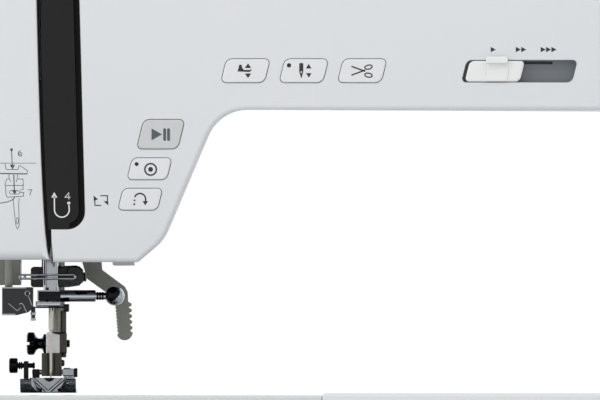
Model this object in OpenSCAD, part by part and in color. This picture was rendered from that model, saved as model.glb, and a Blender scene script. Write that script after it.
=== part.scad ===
// Electronic home sewing machine with a wide opening between needle and column.
// X runs to the right along the bed, +Y to the back and +Z up. The origin is on the table,
// under the middle of the machine's width and depth.

/* [Bed and base] */
// Width from the extension table's left end to the needle
needle_from_left = 85; // [80:1:105]
// Opening from the needle to the column
throat_w = 286; // [220:1:345]
// Width of the column
column_w = 180; // [160:1:216]
// Depth of the base, front to back
base_d = 220; // [200:1:264]
// Height of the bed above the table
bed_h = 82; // [70:1:99]
// Step from the extension table up to the base's top
bed_step = 0.8; // [0.5:0.1:1]
// Height of the rubber feet
foot_h = 5; // [4:0.5:6]
// Where the extension table ends, right of the needle
table_seam = 108; // [95:1:130]
// Depth of the free arm
free_arm_d = 90; // [84:1:100]
// Height of the free arm's shell
free_arm_h = 52; // [45:1:58]

/* [Arm and head] */
// Height of the opening under the arm
throat_h = 111.5; // [100:0.5:134]
// Height from the arm's underside to the lid's top
arm_h = 111.5; // [105:0.5:134]
// Depth of the arm and head
arm_d = 121; // [115:1:145]
// Needle line behind the head's front face
needle_back = 56; // [54:0.5:60]
// Gap between the bed and the head's underside
head_gap = 52; // [50:0.5:56]
// Head's left end to the needle
head_left_w = 78; // [72:1:80]
// Wall of the moulded covers
wall = 2.5; // [2:0.1:3]
// Gap between pieces that sit side by side
seam = 0.3; // [0.2:0.05:0.5]
// Height of the lid
lid_h = 17; // [14:0.5:20]

/* [Buttons and slider] */
// Width of a small button
button_w = 17; // [14:0.5:20]
// Height of a small button
button_h = 9.2; // [8:0.2:11]
// Spacing of the three arm buttons
button_pitch = 22.8; // [20:0.2:26]
// Height of the start button
start_h = 11.4; // [10:0.2:13]
// Lean of every button, in degrees
button_lean = 14; // [0:1:20]
// How far a button stands out
button_proud = 0.6; // [0.3:0.1:1.2]
// How far a button goes in
button_travel = 1.2; // [0.6:0.1:1.5]
// Length of the speed slot
slot_w = 43.4; // [38:0.2:50]
// Width of the speed slider
slider_w = 21.6; // [18:0.2:24]

/* [Needle and presser] */
// Needle bar diameter
needle_bar_d = 6.4; // [5.6:0.1:7]
// Presser bar diameter
presser_bar_d = 5.8; // [5:0.1:6.4]
// Presser foot width
foot_w = 22; // [19:0.5:24]
// Thickness of the presser foot's sole
sole = 1.6; // [1.2:0.1:2]
// Height that the feed teeth lift the foot
foot_rest = 1; // [0.8:0.1:1.4]

/* [Shafts and wheel] */
// Arm shaft diameter
shaft_d = 12; // [10:0.5:14]
// Handwheel diameter
wheel_d = 66; // [56:1:76]
// Width of the handwheel that stands outside the column
wheel_out = 14; // [11:0.5:18]
// Crank radius
crank_r = 16; // [14:0.5:17]
// Running clearance on a radius
run = 0.05; // [0.03:0.01:0.08]

/* [Hidden] */

$fn = 64;
overall_w = needle_from_left + throat_w + column_w + wheel_out;
x_left = -overall_w / 2;
xn = x_left + needle_from_left;          // needle line
col_l = xn + throat_w;                   // column's left face
col_r = col_l + column_w;                // column's right face
col_x = (col_l + col_r) / 2;
head_l = xn - head_left_w;               // head's left face
y_front = -base_d / 2;
y_rear = base_d / 2;
arm_y1 = y_rear - 5;                     // back of the arm
arm_y0 = arm_y1 - arm_d;                 // front face of the arm and head
yn = arm_y0 + needle_back;               // needle line
split_y = yn - 10;                       // joint between the front and rear covers
zb = bed_h;
zc = zb + bed_step;                      // top of the base, beside the extension table
za = zb + throat_h;                      // arm's underside
zt = za + arm_h;                         // top of the lid
z_rim = zt - lid_h;                      // rim of the covers, under the lid
zs = za + 38.5;                          // arm shaft
hook_r = 19;
hook_y = yn - hook_r - 1;
seam_x = xn + table_seam;
arm_x0 = x_left + 12.5;                  // free arm's left end
arm_y_f = yn - free_arm_d / 2 + 1;       // free arm's front
arm_y_b = yn + free_arm_d / 2 + 1;       // free arm's back
arm_z0 = zb - free_arm_h;
lean = tan(button_lean);

// ---------- helpers ----------
function arc(c, r, a0, a1, n = 10) =
    [for (i = [0:n]) let (a = a0 + (a1 - a0) * i / n) c + r * [cos(a), sin(a)]];
function rounded(w, h, r, n = 6) = concat(
    arc([w / 2 - r, h / 2 - r], r, 0, 90, n), arc([-w / 2 + r, h / 2 - r], r, 90, 180, n),
    arc([-w / 2 + r, -h / 2 + r], r, 180, 270, n), arc([w / 2 - r, -h / 2 + r], r, 270, 360, n));
function leaned(pts) = [for (p = pts) [p[0] + p[1] * lean, p[1]]];
// A closed anticlockwise outline moved inwards by d.
function inset(p, d) = [for (i = [0:len(p) - 1])
    let (a = p[(i + len(p) - 1) % len(p)], b = p[i], c = p[(i + 1) % len(p)],
        u = (b - a) / norm(b - a), v = (c - b) / norm(c - b), m = [-u[1], u[0]], n = [-v[1], v[0]])
    b + (m + n) * d / (1 + m * n)];

module along_y(y0, y1) translate([0, y1, 0]) rotate([90, 0, 0]) linear_extrude(y1 - y0) children();
module along_x(x0, x1) translate([x0, 0, 0]) rotate([90, 0, 90]) linear_extrude(x1 - x0) children();
module along_z(z0, z1) translate([0, 0, z0]) linear_extrude(z1 - z0) children();
module rod_x(x0, x1, y, z, r) translate([x0, y, z]) rotate([0, 90, 0]) cylinder(h = x1 - x0, r = r);
module rod_y(y0, y1, x, z, r) translate([x, y1, z]) rotate([90, 0, 0]) cylinder(h = y1 - y0, r = r);
module rod_z(z0, z1, x, y, r) translate([x, y, z0]) cylinder(h = z1 - z0, r = r);
module block(a, b) translate(a) cube(b - a);
module plate_at(x, z, pts, y0, y1) along_y(y0, y1) translate([x, z]) polygon(pts);

// ---------- outlines, in X and Z ----------
// Left edge of the thread channel: steep above, swinging right towards the head's underside.
function edge_x(h) = xn + 1.3 - 5.55 * pow(min(max(h - head_gap - 0.9, 0) / 100, 1.02), 0.42);
edge_steps = 14;
edge_top = z_rim - seam - zb;
function edge_line(dx, h0) = [for (i = [0:edge_steps])
    let (h = h0 + (edge_top - h0) * pow(i / edge_steps, 2)) [edge_x(h) + dx, zb + h]];
channel_h = head_gap + 12.8;             // bottom of the channel
channel_r = 7;
function channel_right(h) = xn + 14.4 - 0.025 * (h - 76);

slope = 67;                              // lean of the head's right flank
throat_r = 17;
nose_r = 19;
nose_c = [xn + 29.3, zb + head_gap + 19.8];
nose_end = nose_c + nose_r * [cos(slope - 90), sin(slope - 90)];
knee_x = nose_end[0] + (za - nose_end[1]) / tan(slope);
function throat_line(lift) = concat(
    [[xn + 35.3, zb + head_gap + lift]],
    arc(nose_c + [0, lift], nose_r, -51, slope - 90, 6),
    arc([knee_x + throat_r * tan(slope / 2), za + lift - throat_r], throat_r, slope + 90, 90, 10),
    arc([col_l - 14, za + lift - 14], 14, 90, 0, 10),
    [[col_l, zc]]);
front_outline = concat(
    [[xn + 1.6, zb + head_gap]], throat_line(0),
    [[col_r, zc], [col_r, z_rim - seam], [channel_right(edge_top), z_rim - seam]],
    arc([channel_right(channel_h) - channel_r, zb + channel_h + channel_r], channel_r, 0, -90, 8),
    [[xn + 1.5, zb + channel_h], [xn + 2.3, zb + head_gap + 4]]);
head_r = 12;
face_outline = concat(
    arc([head_l + head_r, zb + head_gap + 0.9 + head_r], head_r, 180, 270, 8),
    edge_line(0, head_gap + 0.9), [[head_l, z_rim - seam]]);
rear_lift = 3;
rear_outline = concat(
    arc([head_l + head_r, zb + head_gap + rear_lift + head_r], head_r, 180, 270, 8),
    throat_line(rear_lift), [[col_r, zc], [col_r, z_rim - seam], [head_l, z_rim - seam]]);
channel_outline = concat(
    edge_line(0.15, channel_h + 0.15),
    [[channel_right(edge_top), z_rim - seam]],
    arc([channel_right(channel_h) - channel_r, zb + channel_h + channel_r], channel_r, 0, -90, 8));

// ---------- button and slider places, from the needle and the bed ----------
arm_button_x = xn + 77.4;
arm_button_z = za + 15.3;
start_at = [xn + 44.3, zb + head_gap + 50];
tie_at = [xn + 39.9, zb + head_gap + 36.5];
reverse_at = [xn + 36.3, zb + head_gap + 24.6];
slot_at = [xn + 184.4, za + 15.1];
slider_at = [xn + 174.8, za + 15.1];
small_shape = leaned(rounded(button_w, button_h, 2.2));
start_shape = leaned(rounded(button_w - 1, start_h, 2.2));
head_shape = leaned(rounded(button_w - 1.6, button_h - 0.8, 2));
slot_shape = leaned(rounded(slot_w, button_h - 0.4, 2));
function grown(pts, d) = inset(pts, -d);
slot_floor = arm_y0 + 4.4;               // floor of the slider's pocket
slider_travel = 20;
lcd_w = 128;
lcd_h = 84;
lcd_at = [col_x, zs + 2];

// ================= covers =================
module front_cover() color("whitesmoke") difference() {
    union() {
        difference() {
            along_y(arm_y0, split_y) polygon(front_outline);
            along_y(arm_y0 + wall, split_y + 1) polygon(inset(front_outline, wall));
        }
        plate_at(slot_at[0], slot_at[1], leaned(rounded(slot_w + 3, button_h + 3, 3)), arm_y0 + wall - 0.5,
            slot_floor + 1);
    }
    // open towards the tray above, the needle below and the base
    block([xn + 17.5, arm_y0 + wall, z_rim - wall - 2], [col_r - wall, split_y + 1, z_rim + 1]);
    block([xn, arm_y0 + 10, zb + head_gap + 2.6], [xn + 20, split_y + 1, z_rim + 1]);
    block([xn, arm_y0 + 8, zb + head_gap - 1], [xn + 34, split_y + 1, zb + head_gap + 3]);
    block([col_l + 10, arm_y0 + 8, zb - 1], [col_r - 10, split_y + 1, zc + 4]);
    for (i = [0:2]) plate_at(arm_button_x + i * button_pitch, arm_button_z, grown(small_shape, seam),
        arm_y0 - 1, arm_y0 + wall + 1);
    plate_at(start_at[0], start_at[1], grown(start_shape, seam), arm_y0 - 1, arm_y0 + wall + 1);
    for (p = [tie_at, reverse_at])
        plate_at(p[0], p[1], grown(head_shape, seam), arm_y0 - 1, arm_y0 + wall + 1);
    // pocket of the speed slider, with a slit for its stem
    plate_at(slot_at[0], slot_at[1], slot_shape, arm_y0 - 1, slot_floor);
    block([slider_at[0] - 3, slot_floor - 1, slider_at[1] - 1.4],
        [slider_at[0] + slider_travel + 3, slot_floor + 2, slider_at[1] + 1.4]);
    plate_at(lcd_at[0], lcd_at[1], rounded(lcd_w + 2 * seam, lcd_h + 2 * seam, 5),
        arm_y0 - 1, arm_y0 + wall + 1);
}

handle_half = 75;                        // handle's pivot lugs either side of the middle
handle_reach = 32;
lug_y = arm_y1 - 9;
lug_z = z_rim + 7;
notch = handle_half + 12;                // half width of the lid's notch for the handle
notch_y = arm_y1 - 51;
hinge_r = 3.2;                           // lid's rear edge is rounded about its hinge
hinge_y = arm_y1 - hinge_r;
hinge_z = z_rim + hinge_r;
hinge_x = [head_l + 60, -notch - 40, notch + 40, col_r - 60];
module lid_lug(x) {
    rod_x(x - 4, x + 4, hinge_y, hinge_z, hinge_r - 0.2);
    block([x - 4, hinge_y - 3, z_rim - 8], [x + 4, hinge_y + 0.7, hinge_z]);
}
module rear_cover() color("whitesmoke") difference() {
    union() {
        difference() {
            along_y(split_y, arm_y1) polygon(rear_outline);
            along_y(split_y - 1, arm_y1 - wall) polygon(inset(rear_outline, wall));
            block([head_l + wall, split_y - 1, z_rim - wall - 2], [col_r - wall, arm_y1 - wall, z_rim + 1]);
            block([xn - 60, split_y - 1, zb + head_gap], [xn + 39, arm_y1 - 12, zb + head_gap + 9]);
            // slot that the presser lever swings in
            block([xn + 10, lever_y - 1.5, zb + head_gap], [xn + 54, lever_y + 5.5, zb + head_gap + 16]);
            block([col_l + 10, split_y - 1, zb - 1], [col_r - 10, arm_y1 - 8, zc + 4]);
        }
        // shelf and lugs that carry the handle
        block([-notch + 1, notch_y + 2, z_rim - 3.6], [notch - 1, arm_y1 - wall + 0.5, z_rim - 0.6]);
        for (s = [-1, 1]) block([s * (handle_half + 5) - 3, lug_y - 6, z_rim - 1],
            [s * (handle_half + 5) + 3, lug_y + 6, lug_z + 5]);
        for (x = hinge_x) lid_lug(x);
    }
    rod_x(-handle_half - 9, handle_half + 9, lug_y, lug_z, 3 + run);
    for (x = hinge_x) rod_x(x - 5, x + 5, hinge_y, hinge_z, 1.5 + run);
    rod_x(col_r - wall - 1, col_r + 1, yn, zs, shaft_d / 2 + 2);
    for (i = [0:9], s = [0:2]) block([col_x - 45 + i * 10, arm_y1 - wall - 1, zb + 30 + s * 24],
        [col_x - 41 + i * 10, arm_y1 + 1, zb + 48 + s * 24]);
}

module face_cover() color("whitesmoke") difference() {
    along_y(arm_y0, split_y) polygon(face_outline);
    along_y(arm_y0 + wall, split_y + 1) polygon(inset(face_outline, wall));
    block([head_l + wall, arm_y0 + wall, z_rim - wall - 2], [xn - 8, split_y + 1, z_rim + 1]);
    block([xn - 12, arm_y0 + 10, zb + head_gap + 3.5], [xn + 4, split_y + 1, z_rim + 1]);
    block([head_l + head_r, arm_y0 + 8, zb + head_gap], [xn + 4, split_y + 1, zb + head_gap + 4]);
    // slot that the threader's lever runs in
    block([head_l - 1, yn - 18, threader_z - 24], [head_l + wall + 1, yn - 13, threader_z + 3]);
}

channel_floor = arm_y0 + 7;              // floor of the thread grooves
take_x0 = xn - 3.65;                     // take-up lever, left and right faces
take_x1 = xn - 2.65;
module thread_channel() color("#232624") difference() {
    along_y(arm_y0 + 0.8, channel_floor + 1.6) polygon(channel_outline);
    // grooves that the thread runs in, left and right of the tongue
    along_y(arm_y0 - 1, channel_floor) polygon(concat(edge_line(0, channel_h + 0.15),
        [for (i = [edge_steps:-1:0]) edge_line(1.84, channel_h + 0.15)[i]]));
    block([xn + 11.4, arm_y0 - 1, zb + channel_h + 12], [xn + 13, channel_floor, z_rim + 1]);
    // slot for the take-up lever
    block([xn - 8, arm_y0 - 1, za + 12], [take_x1 + 0.22, channel_floor + 3, z_rim + 1]);
}

// Base: moulded shell right of the extension table, closed below by the pan.
base_wall = 3;
pan_t = 3;
pan_z = foot_h;
panel_y = y_rear - 46;
panel_z = foot_h + 36;
module base_shape(d) polygon(concat(
    [[seam_x + d, y_front + d]], arc([col_r - 16, y_front + 16], 16 - d, 270, 360, 8),
    arc([col_r - 16, y_rear - 16], 16 - d, 0, 90, 8), [[seam_x + d, y_rear - d]]));
module base_cover() color("whitesmoke") difference() {
    along_z(pan_z + pan_t, zc) base_shape(0);
    along_z(pan_z + pan_t - 1, zc - base_wall) base_shape(base_wall);
    block([seam_x - 1, arm_y_f + base_wall, arm_z0 + base_wall],
        [seam_x + base_wall + 1, arm_y_b - base_wall, zb - base_wall]);
    block([col_l + 12, arm_y0 + 10, zb - base_wall - 1], [col_r - 12, arm_y1 - 10, zc + 1]);
    block([col_r - base_wall - 1, panel_y - 24, panel_z - 22], [col_r + 1, panel_y + 24, panel_z + 22]);
    // knee lifter socket in the front wall
    rod_y(y_front - 1, y_front + base_wall + 1, knee_x_at, knee_z_at, knee_r + 3 + seam);
}

knee_x_at = col_l - 20;
knee_z_at = foot_h + 30;
knee_r = 5;
module base_pan() color("dimgray") difference() {
    union() {
        along_z(pan_z, pan_z + pan_t) base_shape(0);
        along_z(pan_z, pan_z + 12) free_arm_shape(4);
        block([seam_x - 1, arm_y_f + 4, pan_z], [seam_x + 0.5, arm_y_b - 4, pan_z + pan_t]);
        // socket for a knee lifter's rod, on a post that stands on the pan
        rod_y(y_front, y_front + 30, knee_x_at, knee_z_at, knee_r + 3);
        block([knee_x_at - 3, y_front + 8, pan_z + pan_t - 0.5],
            [knee_x_at + 3, y_front + 26, knee_z_at - knee_r]);
    }
    rod_y(y_front - 1, y_front + 24, knee_x_at, knee_z_at, knee_r);
    block([arm_x0 + 16, arm_y_f + 16, pan_z + pan_t], [seam_x - 6, arm_y_b - 16, pan_z + 13]);
}

module free_arm_shape(d) polygon(concat(
    [[seam_x - seam, arm_y_f + d], [seam_x - seam, arm_y_b - d]],
    arc([arm_x0 + 18, arm_y_b - 18], 18 - d, 90, 180, 8),
    arc([arm_x0 + 18, arm_y_f + 18], 18 - d, 180, 270, 8)));
plate_x0 = xn - 38;
plate_x1 = xn + 42;
plate_y0 = arm_y_f + 2.5;                // front of the bobbin cover
plate_y1 = yn - 7;                       // joint of the bobbin cover and needle plate
plate_y2 = arm_y_b - 4;
plate_t = 1.6;
module free_arm_cover() color("whitesmoke") difference() {
    along_z(arm_z0, zb) free_arm_shape(0);
    along_z(arm_z0 + base_wall, zb - base_wall) union() {
        free_arm_shape(base_wall);
        translate([seam_x - 4, arm_y_f + base_wall]) square([6, free_arm_d - 2 * base_wall]);
    }
    // opening with a ledge that both plates lie on
    block([plate_x0 - seam, plate_y0 - seam, zb - plate_t], [plate_x1 + seam, plate_y2 + seam, zb + 1]);
    block([plate_x0 + 2, plate_y0 + 2, zb - base_wall - 1], [plate_x1 - 2, plate_y2 - 2, zb]);
}

foot_places = [[arm_x0 + 22, arm_y_f + 22], [arm_x0 + 22, arm_y_b - 22], [seam_x + 25, y_front + 22],
    [col_r - 25, y_front + 22], [col_r - 25, y_rear - 22], [seam_x + 25, y_rear - 22]];
module rubber_feet() color("#202020") for (p = foot_places) translate([p[0], p[1], 0]) {
    cylinder(h = 1, r1 = 9, r2 = 10);
    translate([0, 0, 1]) cylinder(h = foot_h - 1, r = 10);
}

// ================= frame and inner works =================
frame_y = yn + 26;                       // front of the cast frame, behind the crank and link
post_x = col_x;
bracket_z = zb + head_gap + 3;           // lower needle bar bracket
upper_z = za + 12;                       // upper needle bar bracket
lower_y = hook_y + 13;                   // lower shaft, just behind the hook's own shaft
lower_z = arm_z0 + 12;
gear_r = 6;
saddle_z = lower_z + gear_r + 0.6;       // bearing of the hook's shaft
presser_x = xn + 2.2;
presser_y = yn + 16;
module main_frame() color("silver") difference() {
    union() {
        block([arm_x0 + 10, frame_y, arm_z0 + base_wall], [col_r - 20, frame_y + 14, arm_z0 + 20]);
        block([post_x - 30, frame_y, foot_h + pan_t], [post_x + 30, frame_y + 14, zs + 25]);
        block([xn - 26, frame_y, zs - 18], [post_x, frame_y + 14, zs + 20]);
        block([xn - 26, frame_y, bracket_z + 14], [xn + 30, frame_y + 8, zs]);
        block([xn - 8, frame_y, bracket_z], [xn + 22, frame_y + 8, bracket_z + 20]);
        // arms forward to the needle bar, the take-up lever and both shafts
        for (z = [bracket_z, upper_z]) block([xn - 8, yn - 6, z], [xn + 8.6, frame_y + 1, z + 8]);
        for (x = [xn + 30, post_x - 30]) block([x, yn - 10, zs - 10], [x + 12, frame_y + 1, zs + 10]);
        for (x = [xn + 45, post_x - 30])
            block([x, lower_y - 9, lower_z - 9], [x + 10, frame_y + 1, lower_z + 9]);
        block([xn + 45, frame_y, lower_z - 9], [xn + 55, frame_y + 8, arm_z0 + 6]);
        block([xn - 26, take_up_y - 5, take_up_z - 5], [xn - 20, frame_y + 1, take_up_z + 5]);
        rod_x(xn - 21, take_x1 + 0.4, take_up_y, take_up_z, 2);
        // guide of the threader and the buttonhole lever
        block([xn - 26, yn - 13, zb + 80], [xn - 11, frame_y + 1, zb + 88]);
        rod_y(lever_y - 0.8, frame_y + 1, lever_x, lever_z, 2);
        // saddle of the hook's shaft and the post that keeps the bobbin case still
        block([xn - 10, hook_y - 8, saddle_z], [xn + 10, frame_y + 1, saddle_z + 3]);
        block([xn - 28, hook_y - 4, arm_z0 + base_wall], [xn - 24, frame_y + 1, arm_z0 + 12]);
        block([xn - 28, hook_y - 4, arm_z0 + base_wall], [xn - 24, hook_y + 4, zb - 8]);
    }
    for (z = [bracket_z, upper_z]) {
        rod_z(z - 1, z + 9, xn, yn, needle_bar_d / 2 + run);
        rod_z(z - 1, z + 9, presser_x, presser_y, presser_bar_d / 2 + run);
    }
    rod_x(xn + 20, post_x + 1, yn, zs, shaft_d / 2 + run);
    rod_x(xn + 30, post_x + 1, lower_y, lower_z, 4 + run);
    rod_z(saddle_z - 1, saddle_z + 4, xn, hook_y, 4 + run);
    rod_z(zb + 79, zb + 89, threader_x, threader_y, 1.6 + run);
    block([xn - 22 - 0.1, yn - 0.1, zb + 79], [xn - 15 + 0.1, yn + 4.1, zb + 89]);
}

tray_z = z_rim - 27;
winder_x = col_x + 6;
module tray_shape(d) polygon(inset([[xn + 34, arm_y0 + wall], [col_l + 8, arm_y0 + wall],
    [col_l + 8, arm_y0 + 16], [col_r - wall, arm_y0 + 16], [col_r - wall, arm_y1 - wall],
    [xn + 34, arm_y1 - wall]], d));
module top_tray() color("gainsboro") difference() {
    union() {
        difference() {
            along_z(tray_z, z_rim - 9) tray_shape(0);
            along_z(tray_z + 2, z_rim) tray_shape(2);
        }
        // cradle of the spool pin
        block([spool_x + 42, yn - 12, tray_z + 1], [spool_x + 47, yn + 12, spool_z + 6]);
    }
    rod_x(spool_x + 41, spool_x + 48, yn, spool_z, 3);
    rod_z(tray_z - 1, tray_z + 3, winder_x, yn, 2.6 + run);
}

module lcd_window() color("#15181c") {
    plate_at(lcd_at[0], lcd_at[1], rounded(lcd_w, lcd_h, 5), arm_y0 + 0.4, arm_y0 + wall);
    plate_at(lcd_at[0], lcd_at[1], rounded(lcd_w + 6, lcd_h + 6, 5), arm_y0 + wall, arm_y0 + wall + 1.5);
    plate_at(lcd_at[0], lcd_at[1], rounded(lcd_w - 14, lcd_h - 12, 2), arm_y0 + wall + 1.5, board_y);
}

board_y = arm_y0 + 10;
module circuit_boards() color("darkgreen") {
    block([col_l + 14, board_y, zs - 44], [col_r - 14, board_y + 1.6, zs + 48]);
    block([xn + 60, board_y, arm_button_z - 8], [xn + 220, board_y + 1.6, arm_button_z + 9]);
    plate_at(xn, reverse_at[1] - 6, [[20, 0], [44, 0], [54, start_at[1] - reverse_at[1] + 12],
        [20, start_at[1] - reverse_at[1] + 12]], board_y, board_y + 1.6);
    for (p = [tie_at, reverse_at, start_at])
        block([p[0] - 3, board_y - 1.6, p[1] - 3], [p[0] + 3, board_y, p[1] + 3]);
    for (i = [0:2]) block([arm_button_x + i * button_pitch - 3, board_y - 1.6, arm_button_z - 3],
        [arm_button_x + i * button_pitch + 3, board_y, arm_button_z + 3]);
    // sliding resistor and the posts that hold the boards to the cover
    block([slider_at[0] - 6, board_y - 1.2, slider_at[1] - 4],
        [slider_at[0] + slider_travel + 6, board_y, slider_at[1] + 4]);
    for (p = [[xn + 64, arm_button_z - 5.4], [xn + 143, arm_button_z], [xn + 152, arm_button_z],
        [xn + 216, arm_button_z + 5], [xn + 27, start_at[1] + 3], [xn + 23, reverse_at[1] - 3]])
        rod_y(arm_y0 + wall, board_y, p[0], p[1], 1.8);
}

slot_w_needle = 8;
module needle_plate() color("silver") difference() {
    union() {
        block([plate_x0, plate_y1 + seam / 2, zb - plate_t], [plate_x1, plate_y2, zb]);
        // legs that stand on the cast frame
        for (x = [plate_x0 + 3, plate_x1 - 9])
            block([x, frame_y + 3, arm_z0 + 20], [x + 6, frame_y + 9, zb - plate_t]);
    }
    block([xn - slot_w_needle / 2, yn - 1.6, zb - 3], [xn + slot_w_needle / 2, yn + 1.6, zb + 1]);
    for (x = [-9, 5]) block([xn + x, yn - 5, zb - 3], [xn + x + 4, yn + 22.5, zb + 1]);
    for (x = plate_screw_x) rod_z(zb - 0.6, zb + 1, x, plate_screw_y, plate_screw_r + seam);
}

plate_screw_x = [plate_x0 + 8, plate_x1 - 8];
plate_screw_y = plate_y2 - 26;
plate_screw_r = 3.2;
module screw_head(r, h) difference() {
    cylinder(h = h, r = r);
    translate([-r, -0.45, h - 0.7]) cube([2 * r, 0.9, 1]);
}
module housing_screws() color("silver") {
    for (x = plate_screw_x) translate([x, plate_screw_y, zb - 0.6]) screw_head(plate_screw_r, 1);
    for (p = [[head_l + 20, za + 30], [col_l + 20, za + 30], [col_r - 20, za + 30],
        [col_l + 20, zb + 15], [col_r - 20, zb + 15]])
        translate([p[0], arm_y1, p[1]]) rotate([-90, 0, 0]) screw_head(3.4, 1);
    for (x = [seam_x + 60, col_l, col_r - 60], y = [y_front + 40, y_rear - 40]) translate([x, y, pan_z])
        rotate([180, 0, 0]) screw_head(4, 1.2);
}

guide_z = zb + 46.7;                     // lower thread guide
module lower_thread_guide() color("silver") {
    difference() {
        plate_at(xn - 1.2, guide_z, rounded(22.8, 2.4, 1.19), yn - 10, yn - 9);
        plate_at(xn - 1.2, guide_z, rounded(21.4, 1, 0.49), yn - 11, yn - 8);
    }
    block([xn - 10.6, yn - 9, guide_z - 0.7], [xn - 9.4, yn + 7.5, guide_z + 0.7]);
}
module needle_bar_bracket() color("#25272a") {
    block([xn - 10.6, yn + 7.5, zb + 42.7], [xn + 11.8, yn + 11, bracket_z]);
    difference() {
        rod_y(yn + 3.5, yn + 7.5, xn + 10.3, zb + 47.1, 4.3);
        rod_y(yn + 3, yn + 5, xn + 10.3, zb + 47.1, 1.6);
    }
}
module led_lamp() color("white") {
    block([xn + 25.3, arm_y0 + 8.5, zb + head_gap - 1], [xn + 33.5, arm_y0 + 38, zb + head_gap + 2]);
    block([xn + 26.5, arm_y0 + 10, zb + head_gap + 2], [xn + 32, arm_y0 + 36, zb + head_gap + 4]);
    block([xn + 27, arm_y0 + wall, zb + head_gap + 3], [xn + 31.5, arm_y0 + 12, zb + head_gap + 8]);
}

motor_y = yn + 4;
motor_z = zb + 34;
motor_r = 24;
pulley_x = post_x + 40;                  // drive pulleys
timing_x = post_x - 60;                  // timing pulleys
module motor() color("dimgray") {
    rod_x(post_x - 34, post_x + 32, motor_y - 6, motor_z, motor_r);
    rod_x(post_x + 32, pulley_x + 14, motor_y - 6, motor_z, 3);
    block([post_x - 20, motor_y, motor_z - 8], [post_x + 20, frame_y, motor_z + 8]);
}
// A belt's outline round two pulleys.
module belt_shape(a, b, ra, rb) {
    d = norm(b - a);
    dir = atan2(b[1] - a[1], b[0] - a[0]);
    off = asin((ra - rb) / d);
    pts = [for (s = [[a, ra, 1], [b, rb, 1], [b, rb, -1], [a, ra, -1]])
        s[0] + s[1] * [cos(dir + s[2] * (90 - off)), sin(dir + s[2] * (90 - off))]];
    translate(a) circle(r = ra);
    translate(b) circle(r = rb);
    polygon(pts);
}
module belt(x0, x1, a, b, ra, rb, t) difference() {
    along_x(x0, x1) belt_shape(a, b, ra + t, rb + t);
    along_x(x0 - 1, x1 + 1) belt_shape(a, b, ra + run, rb + run);
}
wheel_pulley_r = 26;
motor_pulley_r = 8;
timing_r = 14;
module drive_belts() color("#1c1c1c") {
    belt(pulley_x, pulley_x + 8, [motor_y - 6, motor_z], [yn, zs], motor_pulley_r, wheel_pulley_r, 1.8);
    belt(timing_x, timing_x + 8, [lower_y, lower_z], [yn, zs], timing_r, timing_r, 1.8);
}
module tension_unit() color("silver") {
    rod_x(xn + 21, xn + 27, arm_y0 + 20, za + 50, 10);
    rod_x(xn + 27, xn + 33, arm_y0 + 20, za + 50, 4);
    rod_x(xn + 33, xn + 39, arm_y0 + 20, za + 50, 7);
    block([xn + 30, arm_y0 + 20, za + 46.6], [xn + 33, yn - 10, za + 48.4]);
}

jack_r = 3.2;
jack_l = 16;
inlet_y = panel_y + 12;
module connector_panel() color("#2b2d30") difference() {
    union() {
        block([col_r - 4, panel_y - 24 + seam, panel_z - 22 + seam],
            [col_r, panel_y + 24 - seam, panel_z + 22 - seam]);
        block([col_r - base_wall - 2, panel_y - 26, panel_z - 24],
            [col_r - base_wall, panel_y + 26, panel_z + 24]);
        rod_x(col_r - 20, col_r - 4, panel_y - 12, panel_z - 8, jack_r + 2);
    }
    block([col_r - 3, inlet_y - 9, panel_z - 16], [col_r + 1, inlet_y + 9, panel_z - 4]);
    block([col_r - 6, panel_y + 2, panel_z + 3], [col_r + 1, panel_y + 18, panel_z + 17]);
    rod_x(col_r - jack_l, col_r + 1, panel_y - 12, panel_z - 8, jack_r);
    block([col_r - 3, panel_y - 18, panel_z + 6], [col_r + 1, panel_y - 6, panel_z + 11]);
}

// ================= lid, handle and table =================
module lid_shape(d) polygon(concat([[arm_y0 + d, z_rim - d]],
    arc([hinge_y, hinge_z], hinge_r - min(d, 2.6), 270, 360, 8),
    arc([arm_y1 - 12, zt - 12], 12 - d, 0, 90, 8), arc([arm_y0 + 14, zt - 14], 14 - d, 90, 180, 8)));
module top_cover() color("whitesmoke") {
    difference() {
        along_x(head_l, col_r) lid_shape(0);
        difference() {
            along_x(head_l + wall, col_r - wall) lid_shape(wall);
            block([-notch - wall, notch_y - wall, z_rim - 4], [notch + wall, arm_y1 + 1, zt + 1]);
        }
        block([head_l + wall, arm_y0 + wall, z_rim - 1], [col_r - wall, hinge_y - 3, z_rim + 0.5]);
        block([-notch, notch_y, z_rim - 1], [notch, arm_y1 + 1, zt + 1]);
        for (x = hinge_x) {
            rod_x(x - 4.5, x + 4.5, hinge_y, hinge_z, hinge_r + 0.3);
            block([x - 4.5, hinge_y - 3.5, z_rim - 1], [x + 4.5, hinge_y + 1.2, hinge_z]);
        }
    }
    // pins of the hinge, each between two ears
    for (x = hinge_x) {
        rod_x(x - 6, x + 6, hinge_y, hinge_z, 1.5);
        for (s = [-1, 1]) rod_x(x + s * 6 - 1.4, x + s * 6 + 1.4, hinge_y, hinge_z, 2.6);
    }
}

module carry_handle() color("whitesmoke") {
    for (s = [-1, 1]) {
        along_x(s * (handle_half - 3.5) - 4, s * (handle_half - 3.5) + 4) polygon(concat(
            arc([lug_y, lug_z], 5, -90, 90, 10), arc([lug_y - handle_reach, lug_z], 5, 90, 270, 10)));
        rod_x(s * (handle_half + 4.2) - 3.8, s * (handle_half + 4.2) + 3.8, lug_y, lug_z, 3);
    }
    rod_x(-handle_half + 7, handle_half - 7, lug_y - handle_reach, lug_z, 4.6);
}

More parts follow.
